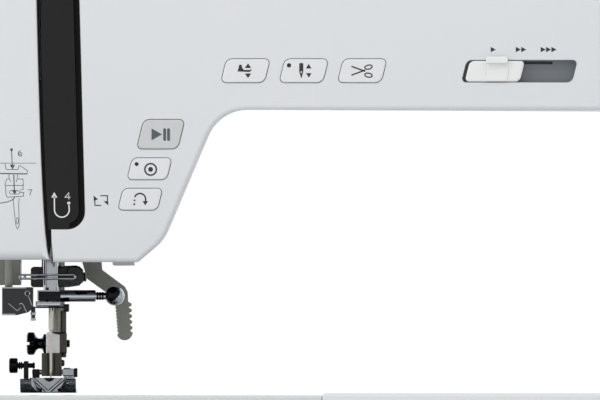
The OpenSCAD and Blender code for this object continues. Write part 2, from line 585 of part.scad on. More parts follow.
door_x0 = x_left + 30;
door_x1 = seam_x - 40;
door_z0 = foot_h + 12;
door_z1 = zb - 14;
module table_shape(d) polygon(concat(
    arc([x_left + 20, y_front + 20], 20 - d, 180, 270, 8),
    [[seam_x - seam - d, y_front + d], [seam_x - seam - d, arm_y_f - 0.6 - d]],
    arc([arm_x0 - 0.6 + 18, arm_y_f - 0.6 + 18], 18 + d, 270, 180, 8),
    [[arm_x0 - 0.6 - d, arm_y_b - 2 - d], [x_left + d, arm_y_b - 2 - d]]));
module extension_table() color("whitesmoke") difference() {
    along_z(foot_h + 1, zb) table_shape(0);
    along_z(foot_h + 1 + wall, zb - wall) table_shape(wall);
    block([door_x0 - seam, y_front - 1, door_z0 - seam],
        [door_x1 + seam, y_front + wall + 1, door_z1 + seam]);
    rod_x(door_x0 - 2.5 - seam, door_x1 + 2.5 + seam, y_front + wall / 2, door_z0 + wall / 2, 0.7 + run);
}
module accessory_door() color("whitesmoke") {
    along_x(door_x0, door_x1) polygon(concat(
        arc([y_front + wall / 2, door_z0 + wall / 2], wall / 2, 180, 360, 8),
        [[y_front + wall, door_z1], [y_front, door_z1]]));
    block([door_x1 - 18, y_front + wall - 0.1, door_z1 - 12],
        [door_x1 - 14, y_front + wall + 5, door_z1 - 8]);
    rod_x(door_x0 - 2.5, door_x1 + 2.5, y_front + wall / 2, door_z0 + wall / 2, 0.7);
}

// ================= shafts =================
crank_angle = 30;                        // crank pin above the shaft's height, at the back
pin_y = yn + crank_r * cos(crank_angle);
pin_z = zs + crank_r * sin(crank_angle);
module handwheel() color("gainsboro") difference() {
    union() {
        rod_x(col_r + 0.5, col_r + wheel_out, yn, zs, wheel_d / 2 - 3);
        rod_x(col_r + 2.5, col_r + wheel_out - 3, yn, zs, wheel_d / 2);
    }
    rod_x(col_r, col_r + wheel_out - 4, yn, zs, shaft_d / 2);
    rod_x(col_r + wheel_out - 3, col_r + wheel_out + 1, yn, zs, wheel_d / 2 - 12);
    for (a = [0:12:348]) translate([0, yn, zs]) rotate([a, 0, 0])
        rod_x(col_r + 2, col_r + wheel_out - 2, 0, wheel_d / 2 + 0.9, 1.6);
}
module arm_shaft() color("silver") {
    rod_x(xn + 20, col_r + wheel_out - 4, yn, zs, shaft_d / 2);
    difference() {
        rod_x(pulley_x, pulley_x + 8, yn, zs, wheel_pulley_r);
        rod_x(pulley_x - 1, pulley_x + 9, yn, zs, shaft_d / 2);
    }
    difference() {
        rod_x(timing_x, timing_x + 8, yn, zs, timing_r);
        rod_x(timing_x - 1, timing_x + 9, yn, zs, shaft_d / 2);
    }
    // crank disc with its counterweight and pin
    along_x(xn + 14, xn + 20) union() {
        translate([yn, zs]) circle(r = 12);
        translate([pin_y, pin_z]) circle(r = 6);
        polygon([for (a = [60, -60, 180 + 35, 180 - 35]) [yn, zs] + (a == 60 || a == -60 ? 12 : 22)
            * [cos(a + crank_angle), sin(a + crank_angle)]]);
    }
    rod_x(xn + 8.8, xn + 14, pin_y, pin_z, 3.5);
}
module lower_shaft() color("silver") {
    rod_x(xn - 10, timing_x + 14, lower_y, lower_z, 4);
    difference() {
        rod_x(timing_x, timing_x + 8, lower_y, lower_z, timing_r);
        rod_x(timing_x - 1, timing_x + 9, lower_y, lower_z, 4);
    }
    difference() {
        rod_x(xn - 8, xn + 8, lower_y, lower_z, gear_r);
        rod_x(xn - 9, xn + 9, lower_y, lower_z, 4);
    }
}
module motor_pulley() color("dimgray") difference() {
    rod_x(pulley_x, pulley_x + 8, motor_y - 6, motor_z, motor_pulley_r);
    rod_x(pulley_x - 1, pulley_x + 9, motor_y - 6, motor_z, 3 + run);
}

hook_z0 = zb - 30 + 0.4;
module rotary_hook() color("silver") {
    difference() {
        rod_z(hook_z0, zb - 11, xn, hook_y, hook_r);
        rod_z(hook_z0 + 2, zb - 10, xn, hook_y, hook_r - 2.2);
        translate([xn, hook_y, zb - 15]) rotate([0, 0, 50]) cube([hook_r + 4, 12, 5]);
    }
    rod_z(lower_z - 8, hook_z0 + 1, xn, hook_y, 4);
    difference() {
        rod_z(lower_z - 5, lower_z + 5, xn, hook_y, 13 - gear_r - 0.3);
        rod_z(lower_z - 6, lower_z + 6, xn, hook_y, 4);
    }
}
module bobbin_case() color("#303236") difference() {
    union() {
        rod_z(hook_z0 + 2.6, zb - 9, xn, hook_y, hook_r - 2.8);
        block([xn - 24, hook_y - 3, zb - 9.8], [xn - 14, hook_y + 3, zb - 9]);
    }
    rod_z(hook_z0 + 4.5, zb - 8, xn, hook_y, 11.2);
}
bobbin_h = 11.2;
bobbin_z = hook_z0 + 5;
module bobbin() color("lightcyan") difference() {
    union() {
        rod_z(bobbin_z, bobbin_z + 1, xn, hook_y, 10.3);
        rod_z(bobbin_z, bobbin_z + bobbin_h, xn, hook_y, 4);
        rod_z(bobbin_z + bobbin_h - 1, bobbin_z + bobbin_h, xn, hook_y, 10.3);
    }
    rod_z(bobbin_z - 1, bobbin_z + bobbin_h + 1, xn, hook_y, 3);
}
module bobbin_cover() color("lightblue") difference() {
    block([plate_x0, plate_y0, zb - plate_t], [plate_x1, plate_y1 - seam / 2, zb]);
    rod_z(zb - 0.6, zb + 1, plate_x1 - 14, plate_y0 + 12, 7);
}

// ================= needle bar =================
eye_z = upper_z - 16;                    // stud that the link drives
module connecting_link() color("dimgray") difference() {
    along_x(xn + 9.2, xn + 13.4) union() {
        translate([pin_y, pin_z]) circle(r = 6);
        translate([yn, eye_z]) circle(r = 5.5);
        polygon([[pin_y + 3.5, pin_z], [pin_y - 3.5, pin_z], [yn - 3, eye_z], [yn + 3, eye_z]]);
    }
    rod_x(xn + 9, xn + 14, pin_y, pin_z, 3.5 + run);
    rod_x(xn + 9, xn + 14, yn, eye_z, 3.5);
}
bar_z0 = zb + 35.4;
clamp_z0 = zb + 35.2;
clamp_z1 = zb + 41.5;
module needle_bar() color("silver") {
    difference() {
        rod_z(bar_z0, upper_z + 44, xn, yn, needle_bar_d / 2);
        rod_z(bar_z0 - 1, bar_z0 + 9, xn, yn, 1);
    }
    difference() {
        block([xn - 6, yn - 6, eye_z - 5], [xn + 6, yn + 6, eye_z + 5]);
        rod_z(eye_z - 6, eye_z + 6, xn, yn, needle_bar_d / 2);
    }
    rod_x(xn + 6, xn + 8.6, yn, eye_z, 3);
}
clamp_x0 = xn - 5.9;
clamp_x1 = xn + 3.9;
screw_z = zb + 39.2;
module needle_clamp() color("silver") difference() {
    union() {
        block([clamp_x0, yn - 6.5, clamp_z0], [clamp_x1, yn + 6, clamp_z1]);
        block([clamp_x0, yn - 7, zb + 33.4], [xn + 7.3, yn + 2, clamp_z0]);
        rod_z(zb + 33, clamp_z0, xn + 6, yn - 4, 1.2);
    }
    rod_z(bar_z0, clamp_z1 + 1, xn, yn, needle_bar_d / 2);
    rod_z(zb + 32, clamp_z0 + 1, xn, yn, 1);
}
module needle_clamp_screw() color("silver") {
    rod_x(clamp_x1, xn + 17.7, yn, screw_z, 2.35);
    rod_x(xn + 17.7, xn + 22, yn, screw_z, 1.4);
    difference() {
        translate([xn + 25.2, yn, screw_z]) sphere(r = 3.9);
        block([xn + 16, yn - 5, screw_z - 5], [xn + 22, yn + 5, screw_z + 5]);
    }
}
needle_tip = zb + 6;
module needle() color("silver") {
    rod_z(zb + 26, bar_z0 + 9, xn, yn, 1);
    translate([xn, yn, zb + 23.5]) cylinder(h = 2.5, r1 = 0.45, r2 = 1);
    difference() {
        rod_z(needle_tip + 3, zb + 23.5, xn, yn, 0.45);
        rod_y(yn - 1, yn + 1, xn, needle_tip + 4.6, 0.2);
    }
    translate([xn, yn, needle_tip]) cylinder(h = 3, r1 = 0.05, r2 = 0.45);
}

// ================= presser =================
collar_z = za - 4;
module presser_bar() color("gray") {
    rod_z(zb + 18, upper_z + 30, presser_x, presser_y, presser_bar_d / 2);
    difference() {
        rod_z(collar_z - 6, collar_z, presser_x, presser_y, 5.5);
        rod_z(collar_z - 7, collar_z + 1, presser_x, presser_y, presser_bar_d / 2);
    }
}
// One closed tube swept along a helix.
spring_turns = 6;
spring_ring = 12;
spring_r = 4.6;
spring_wire = 0.6;
function coil_point(t, a, h) = let (c = spring_r + spring_wire * cos(a))
    [c * cos(360 * t), c * sin(360 * t), h * t / spring_turns + spring_wire * sin(a)];
module presser_spring() color("dimgray") {
    h = upper_z - collar_z - 2 * spring_wire - 0.4;
    n = spring_turns * 18;
    translate([presser_x, presser_y, collar_z + spring_wire + 0.2]) polyhedron(
        points = [for (i = [0:n], k = [0:spring_ring - 1]) coil_point(i / 18, 360 * k / spring_ring, h)],
        faces = concat([[for (k = [0:spring_ring - 1]) k]],
            [for (i = [0:n - 1], k = [0:spring_ring - 1])
                let (a = i * spring_ring, b = (k + 1) % spring_ring)
                [a + k, a + spring_ring + k, a + spring_ring + b, a + b]],
            [[for (k = [spring_ring - 1:-1:0]) n * spring_ring + k]]));
}
holder_y0 = yn + 9;
module presser_foot_holder() color("dimgray") difference() {
    union() {
        block([xn - 3.9, holder_y0, zb + 7.6], [xn + 3.9, holder_y0 + 12, zb + 16.7]);
        block([xn - 2.2, presser_y - 4.6, zb + 16.7], [xn + 5.9, presser_y + 4.6, zb + 26]);
        rod_x(xn + 3.9, xn + 4.9, presser_y, zb + 12.8, 1.2);
    }
    rod_z(zb + 18, zb + 27, presser_x, presser_y, presser_bar_d / 2);
    // groove that snaps over the foot's pin
    rod_x(xn - 5, xn + 5, pivot_y, pivot_z, 1.3);
    block([xn - 5, pivot_y - 1.2, zb + 7], [xn + 5, pivot_y + 1.2, pivot_z]);
}
holder_screw_z = zb + 20.5;
module holder_screw() color("silver") {
    rod_x(xn - 3.6, xn - 2.2, presser_y, holder_screw_z, 3.8);
    rod_x(xn - 6.3, xn - 3.6, presser_y, holder_screw_z, 2);
    difference() {
        rod_x(xn - 9.9, xn - 6.3, presser_y, holder_screw_z, 4.5);
        block([xn - 11, presser_y - 5, holder_screw_z - 0.6],
            [xn - 8.6, presser_y + 5, holder_screw_z + 0.6]);
    }
    rod_x(xn + 5.9, xn + 7.1, presser_y, holder_screw_z, 1.5);
}
pivot_y = yn + 14.5;
pivot_z = zb + 9.2;
foot_z = zb + foot_rest;
foot_x0 = xn - foot_w / 2 - 0.8;
foot_x1 = foot_x0 + foot_w;
module presser_foot() color("silver") {
    difference() {
        union() {
            // sole, turned up in front
            along_x(foot_x0, foot_x1) polygon(concat(
                [[yn + 17, foot_z], [yn + 17, foot_z + sole], [yn - 9, foot_z + sole]],
                arc([yn - 9, foot_z + sole + 5], 5, 270, 200, 8),
                arc([yn - 9, foot_z + 7], 7, 200, 270, 8)));
            for (s = [-1, 1]) block([xn + s * 6.2 - 1.6, yn + 11, foot_z + sole - 0.1],
                [xn + s * 6.2 + 1.6, yn + 17, zb + 11.6]);
        }
        block([xn - 3.6, yn - 2.2, foot_z - 1], [xn + 3.6, yn + 2.2, foot_z + 4]);
        block([xn - 0.5, yn - 20, foot_z - 1], [xn + 0.5, yn, foot_z + 10]);
        rod_x(xn - 8, xn + 8, pivot_y, pivot_z, 1);
    }
    rod_x(xn - 7.8, xn + 7.8, pivot_y, pivot_z, 1);
    // post that carries the levelling pin
    difference() {
        block([xn - 11.4, yn + 9, foot_z + sole], [xn - 8.8, yn + 17, zb + 15]);
        rod_x(xn - 12, xn - 8, yn + 12.2, zb + 11.8, 1 + run);
    }
}
module foot_level_button() color("#17181a") {
    rod_x(xn - 16.8, xn - 13.4, yn + 12.2, zb + 11.8, 3);
    rod_x(xn - 13.4, xn - 10, yn + 12.2, zb + 11.8, 1);
}
lever_y = frame_y - 4.6;
lever_x = xn + 15.5;
lever_z = zb + 60;
module presser_lever() color("gray") {
    difference() {
        along_y(lever_y, lever_y + 4) polygon(concat(
            arc([lever_x, lever_z], 5, 160, 20, 8),
            [[xn + 20.2, zb + 52], [xn + 30.4, zb + 42.6]],
            arc([xn + 28.6, zb + 25.2], 3.2, 10, -190, 8),
            [[xn + 23.9, zb + 36.5], [xn + 11.6, zb + 48]]));
        rod_y(lever_y - 1, lever_y + 5, lever_x, lever_z, 2 + run);
    }
}

threader_z = zb + 118;
threader_x = xn - 16.4;
threader_y = yn - 9;
module needle_threader() color("#22252b") {
    block([xn - 18.9, yn - 14, zb + 31.3], [xn - 6.7, yn - 4, zb + 43.1]);
    rod_z(zb + 43.1, threader_z + 8, threader_x, threader_y, 1.6);
    rod_z(zb + 29.3, zb + 35, xn - 6.7, yn - 11, 1.1);
}
module threader_lever() color("gainsboro") difference() {
    union() {
        block([head_l - 6, yn - 22, threader_z - 8], [head_l - 1, yn - 9, threader_z + 6]);
        block([head_l - 1.5, yn - 17.5, threader_z - 2], [threader_x + 4, yn - 13.5, threader_z + 2]);
        block([threader_x - 4, yn - 17.5, threader_z - 2], [threader_x + 4, yn - 5, threader_z + 2]);
    }
    rod_z(threader_z - 3, threader_z + 3, threader_x, threader_y, 1.6);
}
module buttonhole_lever() color("#8b8c84") {
    block([xn - 26, yn - 2, zb + 43.5], [xn - 11.8, yn + 6, zb + 66]);
    block([xn - 22, yn, zb + 66], [xn - 15, yn + 4, zb + 122]);
}

take_up_y = yn - 10;
take_up_z = za + 46.5;
take_up_l = 40;
take_up_angle = 130;                     // lever's rise from the rear, at rest
take_up_dir = [cos(take_up_angle), sin(take_up_angle)];
module take_up_lever() color("silver") difference() {
    along_x(take_x0, take_x1) union() {
        translate([take_up_y, take_up_z]) circle(r = 5);
        polygon([for (p = [[0, 3], [0, -3], [take_up_l, -1.6], [take_up_l, 1.6]])
            [take_up_y, take_up_z] + p[0] * take_up_dir + p[1] * [-take_up_dir[1], take_up_dir[0]]]);
        translate([take_up_y, take_up_z] + take_up_l * take_up_dir) circle(r = 3.2);
    }
    rod_x(xn - 5, xn - 1, take_up_y + take_up_l * take_up_dir[0], take_up_z + take_up_l * take_up_dir[1], 1.2);
    rod_x(xn - 5, xn - 1, take_up_y, take_up_z, 2 + run);
}

module feed_dog() color("silver") {
    block([xn - 10, yn + 4, zb - 10], [xn + 10, yn + 22, zb - 5]);
    for (x = [-8.6, 5.4]) difference() {
        block([xn + x, yn - 1.5, zb - 5.1], [xn + x + 3.2, yn + 19.5, zb + foot_rest - 0.5]);
        for (i = [0:12]) translate([xn + x - 1, yn - 0.8 + i * 1.6, zb + foot_rest - 1.2])
            rotate([45, 0, 0]) cube([6, 1.2, 1.2]);
    }
    block([xn - 3, yn + 10, zb - 22], [xn + 3, yn + 18, zb - 10]);
}

// ================= buttons, slider and small fittings =================
cap_back = board_y - 1.6 - button_travel - 0.2;   // clear of the switch when pushed in
module button_cap(p, shape) color("#dfe1e4")
    plate_at(p[0], p[1], shape, arm_y0 - button_proud, cap_back);
module presser_button() button_cap([arm_button_x, arm_button_z], small_shape);
module needle_button() button_cap([arm_button_x + button_pitch, arm_button_z], small_shape);
module cutter_button() button_cap([arm_button_x + 2 * button_pitch, arm_button_z], small_shape);
module start_button() button_cap(start_at, start_shape);
module tie_off_button() button_cap(tie_at, head_shape);
module reverse_button() button_cap(reverse_at, head_shape);
module speed_slider() color("white") {
    plate_at(slider_at[0], slider_at[1], leaned(rounded(slider_w, button_h - 0.4 - 2 * seam, 1.8)),
        arm_y0 - 0.4, slot_floor - 0.3);
    block([slider_at[0] - 3.7, arm_y0 - 3, slider_at[1] + 2],
        [slider_at[0] + 5.3, arm_y0 - 0.3, slider_at[1] + 5.6]);
    block([slider_at[0] - 2, slot_floor - 0.4, slider_at[1] - 1],
        [slider_at[0] + 2, board_y - 1.5, slider_at[1] + 1]);
}

spool_x = min(xn + 240, col_x - 60);
spool_z = tray_z + 17;
module spool_pin() color("white") {
    rod_x(spool_x - 28, spool_x + 47, yn, spool_z, 3);
    rod_x(spool_x + 36, spool_x + 41.6, yn, spool_z, 11);
}
module bobbin_winder() color("whitesmoke") {
    rod_z(tray_z + 2.3, tray_z + 5, winder_x, yn, 12);
    rod_z(tray_z - 6, tray_z + 2.3, winder_x, yn, 2.6);
    rod_z(tray_z + 5, tray_z + 19, winder_x, yn, 3);
}
switch_x = col_r - 1;
switch_z = panel_z + 10;
module power_switch() color("#18191b") intersection() {
    rod_y(panel_y + 2.5, panel_y + 17.5, switch_x - 4, switch_z, 7.4);
    block([switch_x - 7, panel_y + 2, switch_z - 6], [col_r + 2, panel_y + 18, switch_z + 6]);
}

front_cover();
rear_cover();
face_cover();
thread_channel();
base_cover();
base_pan();
free_arm_cover();
rubber_feet();
main_frame();
top_tray();
lcd_window();
circuit_boards();
needle_plate();
housing_screws();
lower_thread_guide();
needle_bar_bracket();
led_lamp();
motor();
drive_belts();
tension_unit();
connector_panel();
bobbin_case();
top_cover();
carry_handle();
extension_table();
accessory_door();
handwheel();
arm_shaft();
lower_shaft();
rotary_hook();
motor_pulley();
connecting_link();
needle_bar();
needle_clamp();
needle_clamp_screw();
needle();
presser_bar();
presser_foot_holder();
holder_screw();
presser_spring();
presser_foot();
foot_level_button();
presser_lever();
needle_threader();
threader_lever();
buttonhole_lever();
take_up_lever();
feed_dog();
bobbin();
bobbin_cover();
presser_button();
needle_button();
cutter_button();
start_button();
tie_off_button();
reverse_button();
speed_slider();
spool_pin();
bobbin_winder();
power_switch();
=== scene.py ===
"""An electronic home sewing machine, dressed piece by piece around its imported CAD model."""

from math import cos, pi, radians, sin, tan

import bmesh
import bpy
from mathutils import Matrix, Vector


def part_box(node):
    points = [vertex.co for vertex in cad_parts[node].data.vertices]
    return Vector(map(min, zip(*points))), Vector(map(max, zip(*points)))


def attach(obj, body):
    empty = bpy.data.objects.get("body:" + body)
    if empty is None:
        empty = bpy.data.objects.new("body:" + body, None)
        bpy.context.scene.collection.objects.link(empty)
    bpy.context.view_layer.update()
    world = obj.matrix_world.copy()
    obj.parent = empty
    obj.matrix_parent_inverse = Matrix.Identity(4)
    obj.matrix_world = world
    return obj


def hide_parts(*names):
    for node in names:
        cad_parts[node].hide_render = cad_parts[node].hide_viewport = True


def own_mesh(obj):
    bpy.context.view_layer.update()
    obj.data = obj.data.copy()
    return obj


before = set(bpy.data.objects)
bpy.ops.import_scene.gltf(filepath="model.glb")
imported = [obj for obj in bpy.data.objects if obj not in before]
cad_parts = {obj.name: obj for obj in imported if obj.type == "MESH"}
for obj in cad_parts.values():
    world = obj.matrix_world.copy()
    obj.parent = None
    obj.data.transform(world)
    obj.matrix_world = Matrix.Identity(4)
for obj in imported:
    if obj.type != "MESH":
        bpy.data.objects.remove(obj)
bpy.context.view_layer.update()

# ------------
# Camera and studio. A long lens stands level with the bed and looks at the head.
# The room is white, a little dimmer towards the sides and the front, so that polished
# steel shows dark edges, and two soft panels shape the covers.

MM = 0.001
scene = bpy.context.scene


def corners(node):
    """A CAD node's lowest and highest corner in millimetres."""
    low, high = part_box(node)
    return [v / MM for v in low], [v / MM for v in high]


needle_low, needle_high = corners("needle")
xn = (needle_low[0] + needle_high[0]) / 2  # needle line
yn = (needle_low[1] + needle_high[1]) / 2
zb = corners("needle_plate")[1][2]  # top of the bed
cover_low, cover_high = corners("front_cover")
y_face = cover_low[1]  # front face of the head and arm
lens_distance = 5500  # far away, so that the view is nearly without perspective
stand_right = 140  # from the needle, like the two below
aim_right, aim_up = 98.7, 76.3  # middle of the view
lens = bpy.data.cameras.new("long_lens")
lens.lens = 845
lens.sensor_width = 36
lens.clip_start = 0.5
lens.clip_end = 100
camera = bpy.data.objects.new("camera", lens)
scene.collection.objects.link(camera)
stand = Vector((xn + stand_right, y_face - lens_distance, zb)) * MM
look_at = Vector((xn + aim_right, y_face, zb + aim_up)) * MM
camera.location = stand
camera.rotation_euler = (look_at - stand).to_track_quat("-Z", "Y").to_euler()
scene.camera = camera


def from_hex(code):
    """An sRGB hex colour as linear values."""
    values = [int(code[i : i + 2], 16) / 255 for i in (1, 3, 5)]
    return tuple(v / 12.92 if v <= 0.04045 else ((v + 0.055) / 1.055) ** 2.4 for v in values) + (1,)


def add_node(tree, kind, settings=None, values=None, links=None):
    """Adds one shader node with its settings, input values and incoming links."""
    made = tree.nodes.new("ShaderNode" + kind)
    for key, value in (settings or {}).items():
        setattr(made, key, value)
    for key, value in (values or {}).items():
        made.inputs[key].default_value = value
    for key, (source, output) in (links or {}).items():
        tree.links.new(source.outputs[output], made.inputs[key])
    return made


def new_material(name, values):
    """A material with uniform values on its shader, then its node tree and the shader."""
    made = bpy.data.materials.new(name)
    made.use_nodes = True
    shader = made.node_tree.nodes["Principled BSDF"]
    for key, value in values.items():
        shader.inputs[key].default_value = value
    return made, made.node_tree, shader


room = bpy.data.worlds.new("white_room")
scene.world = room
room.use_nodes = True
room.node_tree.nodes["Background"].inputs["Color"].default_value = from_hex("#ffffff")
side_glow, back_glow = 0.62, 1.02
toward = add_node(room.node_tree, "TexCoord")
behind = add_node(
    room.node_tree, "VectorMath", {"operation": "DOT_PRODUCT"}, {1: (0, 1, 0.25)},
    {0: (toward, "Generated")},
)
above = add_node(
    room.node_tree, "MapRange", {"interpolation_type": "SMOOTHSTEP"},
    {"From Min": -0.15, "From Max": 0.5, "To Min": side_glow, "To Max": back_glow}, {"Value": (behind, "Value")},
)
room.node_tree.links.new(above.outputs["Result"], room.node_tree.nodes["Background"].inputs["Strength"])
scene.view_settings.view_transform = "Standard"


def panel_light(name, at, aim, size, power):
    """A soft box, seen by the machine and not by the lens."""
    light = bpy.data.lights.new(name, "AREA")
    light.shape = "RECTANGLE"
    light.size, light.size_y = size
    light.energy = power
    lamp = bpy.data.objects.new(name, light)
    lamp.location = at
    lamp.rotation_euler = (Vector(aim) - Vector(at)).to_track_quat("-Z", "Y").to_euler()
    lamp.visible_camera = False
    scene.collection.objects.link(lamp)


panel_light("left_panel", (-1.5, -1.5, 1.1), (-0.15, 0, 0.15), (0.9, 1.3), 9)
panel_light("top_panel", (0.3, -1.2, 1.9), (-0.05, 0, 0.2), (1.6, 0.8), 9)

floor_mesh = bpy.data.meshes.new("floor")
floor_mesh.from_pydata([(-40, -40, 0), (40, -40, 0), (40, 40, 0), (-40, 40, 0)], [], [(0, 1, 2, 3)])
floor = bpy.data.objects.new("floor", floor_mesh)
scene.collection.objects.link(floor)
# Rolled matt paper, even and without gloss.
paper = new_material("studio_paper", {"Base Color": from_hex("#f4f4f2"), "Roughness": 0.9})[0]
floor.data.materials.append(paper)

# ------------
# Front cover: one injection-moulded ABS shell for the head, the arm and the column.
# Its outer edges are rolled over a wide radius, and the tool leaves clean openings for the
# buttons, the speed slider and the screen. Screws from behind hold it to the rear cover.


def arc(cx, cz, r, a0, a1, n=12):
    """Points of an arc, from angle a0 to a1 in degrees."""
    turns = [radians(a0 + (a1 - a0) * i / n) for i in range(n + 1)]
    return [(cx + r * cos(a), cz + r * sin(a)) for a in turns]


def rounded(w, h, r, n=6):
    """A rectangle with round corners, about its own middle."""
    x, z = w / 2 - r, h / 2 - r
    middles = ((x, z), (-x, z), (-x, -z), (x, -z))
    return [p for k, at in enumerate(middles) for p in arc(*at, r, 90 * k, 90 * k + 90, n)]


def moved(points, dx, dz):
    return [(x + dx, z + dz) for x, z in points]


def leaned(points, lean=tan(radians(14))):
    """The same outline leaning to the right, as every button does."""
    return [(x + z * lean, z) for x, z in points]


def pushed_in(points, depths):
    """Each side of an anticlockwise outline moved inwards by its own depth; side i starts at point i."""
    made = []
    for i, point in enumerate(points):
        a, b, c = Vector(points[i - 1]), Vector(point), Vector(points[(i + 1) % len(points)])
        u, v = (b - a).normalized(), (c - b).normalized()
        d0, d1 = depths[i - 1], depths[i]
        turn = u.x * v.y - u.y * v.x
        if abs(turn) < 0.02 or (d0 != d1 and abs(turn) < 0.4):
            b = b + Vector((-u.y, u.x)) * (d0 + d1) / 2
        else:
            b = b + (v * d0 - u * d1) / turn
        made.append((b.x, b.y))
    return made


def inset(points, d):
    return pushed_in(points, [d] * len(points))


def solid(rings):
    """A closed bmesh through rings of points with equal counts, capped at both ends, in millimetres."""
    bm = bmesh.new()
    loops = [[bm.verts.new(p) for p in ring] for ring in rings]
    for low, high in zip(loops, loops[1:]):
        for i in range(len(low)):
            j = (i + 1) % len(low)
            bm.faces.new((low[i], low[j], high[j], high[i]))
    bm.faces.new(loops[0][::-1])
    bm.faces.new(loops[-1])
    bmesh.ops.recalc_face_normals(bm, faces=bm.faces)
    return bm


def slab(points, y0, y1):
    """An outline in X and Z, drawn out along Y."""
    return solid([[(x, y, z) for x, z in points] for y in (y0, y1)])


def brick(low, high):
    return slab([(low[0], low[2]), (high[0], low[2]), (high[0], high[2]), (low[0], high[2])], low[1], high[1])


def moulding(points, rolls, y0, y1, steps=7):
    """A slab whose front edge at y0 is rolled over, by one radius or by one for each side of its outline."""
    if not isinstance(rolls, list):
        rolls = [rolls] * len(points)
    rings = []
    for k in range(steps + 1):
        t = radians(90 * k / steps)
        ring = pushed_in(points, [r * (1 - sin(t)) for r in rolls])
        deep = [max(rolls[i - 1], rolls[i]) * (1 - cos(t)) for i in range(len(points))]
        rings.append([(x, y0 + d, z) for (x, z), d in zip(ring, deep)])
    return solid(rings + [[(x, y1, z) for x, z in points]])


def soften(bm, width, angle=40, segments=2, chosen=None):
    """Rolls over the edges sharper than angle, or those of them that chosen(middle) picks."""
    edges = [e for e in bm.edges if len(e.link_faces) == 2 and e.calc_face_angle(0) > radians(angle)]
    if chosen:
        edges = [e for e in edges if chosen((e.verts[0].co + e.verts[1].co) / 2)]
    bmesh.ops.bevel(
        bm, geom=edges, offset=width, segments=segments, profile=0.5, affect="EDGES", clamp_overlap=True
    )
    return bm


def together(parts):
    """Several closed solids as one bmesh."""
    whole = bmesh.new()
    for part in parts:
        mesh = bpy.data.meshes.new("part")
        part.to_mesh(mesh)
        part.free()
        whole.from_mesh(mesh)
        bpy.data.meshes.remove(mesh)
    return whole


def to_object(name, bm):
    """A bmesh in millimetres as an object in metres."""
    bm.transform(Matrix.Scale(MM, 4))
    mesh = bpy.data.meshes.new(name)
    bm.to_mesh(mesh)
    bm.free()
    made = bpy.data.objects.new(name, mesh)
    scene.collection.objects.link(made)
    return made


def carve(piece, tools, way="DIFFERENCE"):
    """Cuts each tool's solid out of a piece, or joins it on."""
    for tool in tools:
        cutter = to_object("cutter", tool)
        step = piece.modifiers.new("carve", "BOOLEAN")
        step.operation, step.solver, step.object = way, "EXACT", cutter
        bpy.context.view_layer.update()
        mesh = bpy.data.meshes.new_from_object(piece.evaluated_get(bpy.context.evaluated_depsgraph_get()))
        piece.modifiers.clear()
        old, piece.data = piece.data, mesh
        mesh.name = piece.name
        bpy.data.meshes.remove(old)
        bpy.data.objects.remove(cutter)
    return piece


def dress(piece, material, body, replaced=(), crease=35):
    """Gives a finished mesh its material, shading that is smooth up to a crease, and its place."""
    piece.data.materials.clear()
    piece.data.materials.append(material)
    piece.data.shade_smooth()
    piece.data.set_sharp_from_angle(angle=radians(crease))
    even = piece.modifiers.new("even_shading", "WEIGHTED_NORMAL")
    even.keep_sharp = True
    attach(piece, body)
    if replaced:
        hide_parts(*replaced)
    return piece


def surface_marks(tree, shader, colours, tone_by, marks=None, gloss=(0, 1), strength=0.5, depth_mm=0):
    """Lets one pattern mix the two colours, and another vary the gloss and raise the relief."""
    two = {6: from_hex(colours[0]), 7: from_hex(colours[1])}
    tone = add_node(tree, "Mix", {"data_type": "RGBA"}, two, {0: (tone_by, "Fac")})
    tree.links.new(tone.outputs[2], shader.inputs["Base Color"])
    if marks:
        ends = {"To Min": gloss[0], "To Max": gloss[1]}
        sheen = add_node(tree, "MapRange", values=ends, links={"Value": (marks, "Fac")})
        height = {"Strength": strength, "Distance": depth_mm * MM}
        relief = add_node(tree, "Bump", values=height, links={"Height": (marks, "Fac")})
        tree.links.new(sheen.outputs["Result"], shader.inputs["Roughness"])
        tree.links.new(relief.outputs["Normal"], shader.inputs["Normal"])


def moulded_plastic(name, colour, second, roughness, grain_mm, depth_mm, extra=None):
    """Injection-moulded plastic: the tool's fine grain in gloss and relief, and a slow tone from the melt's flow.
    The real grain is near 0.1 mm. Each grain_mm is drawn coarser, because the real one would not show."""
    made, tree, shader = new_material(name, {"IOR": 1.53, "Coat Roughness": 0.1, **(extra or {})})
    place = {"Vector": (add_node(tree, "TexCoord"), "Object")}
    grain, flow = [
        add_node(tree, "TexNoise", values={"Scale": 1 / (size * MM), "Detail": detail}, links=place)
        for size, detail in ((grain_mm, 3), (90, 1))
    ]
    surface_marks(tree, shader, (colour, second), flow, grain, (roughness * 0.88, roughness * 1.12), 0.5, depth_mm)
    return made


# White ABS with a spark-eroded finish: a cool off-white with soft broad highlights.
white_abs = moulded_plastic("moulded_white_abs", "#dfe1e4", "#dbdee1", 0.38, 0.7, 0.01)

head_gap = 52  # bed to the head's underside
wall = 2.5
za = zb + 111.5  # underside of the arm
col_r = cover_high[0]
col_l = col_r - 180  # left face of the column
zc = corners("base_cover")[1][2]  # top of the base
z_rim = cover_high[2]  # rim that the lid closes on
y_split = cover_high[1]  # joint with the rear cover
channel_h, channel_r = head_gap + 12.8, 7


def slit_x(h):
    """Left edge of the thread channel at height h over the bed."""
    return xn + 1.3 - 5.55 * min(max(h - head_gap - 0.9, 0) / 100, 1.02) ** 0.42


def channel_right(h):
    """Right edge of the thread channel at height h over the bed."""
    return xn + 14.4 - 0.025 * (h - 76)


def channel_bend(off, a0, a1):
    """The round right-hand corner at the channel's foot, drawn in by off."""
    return arc(channel_right(channel_h) - channel_r, zb + channel_h + channel_r, channel_r - off, a0, a1, 12)


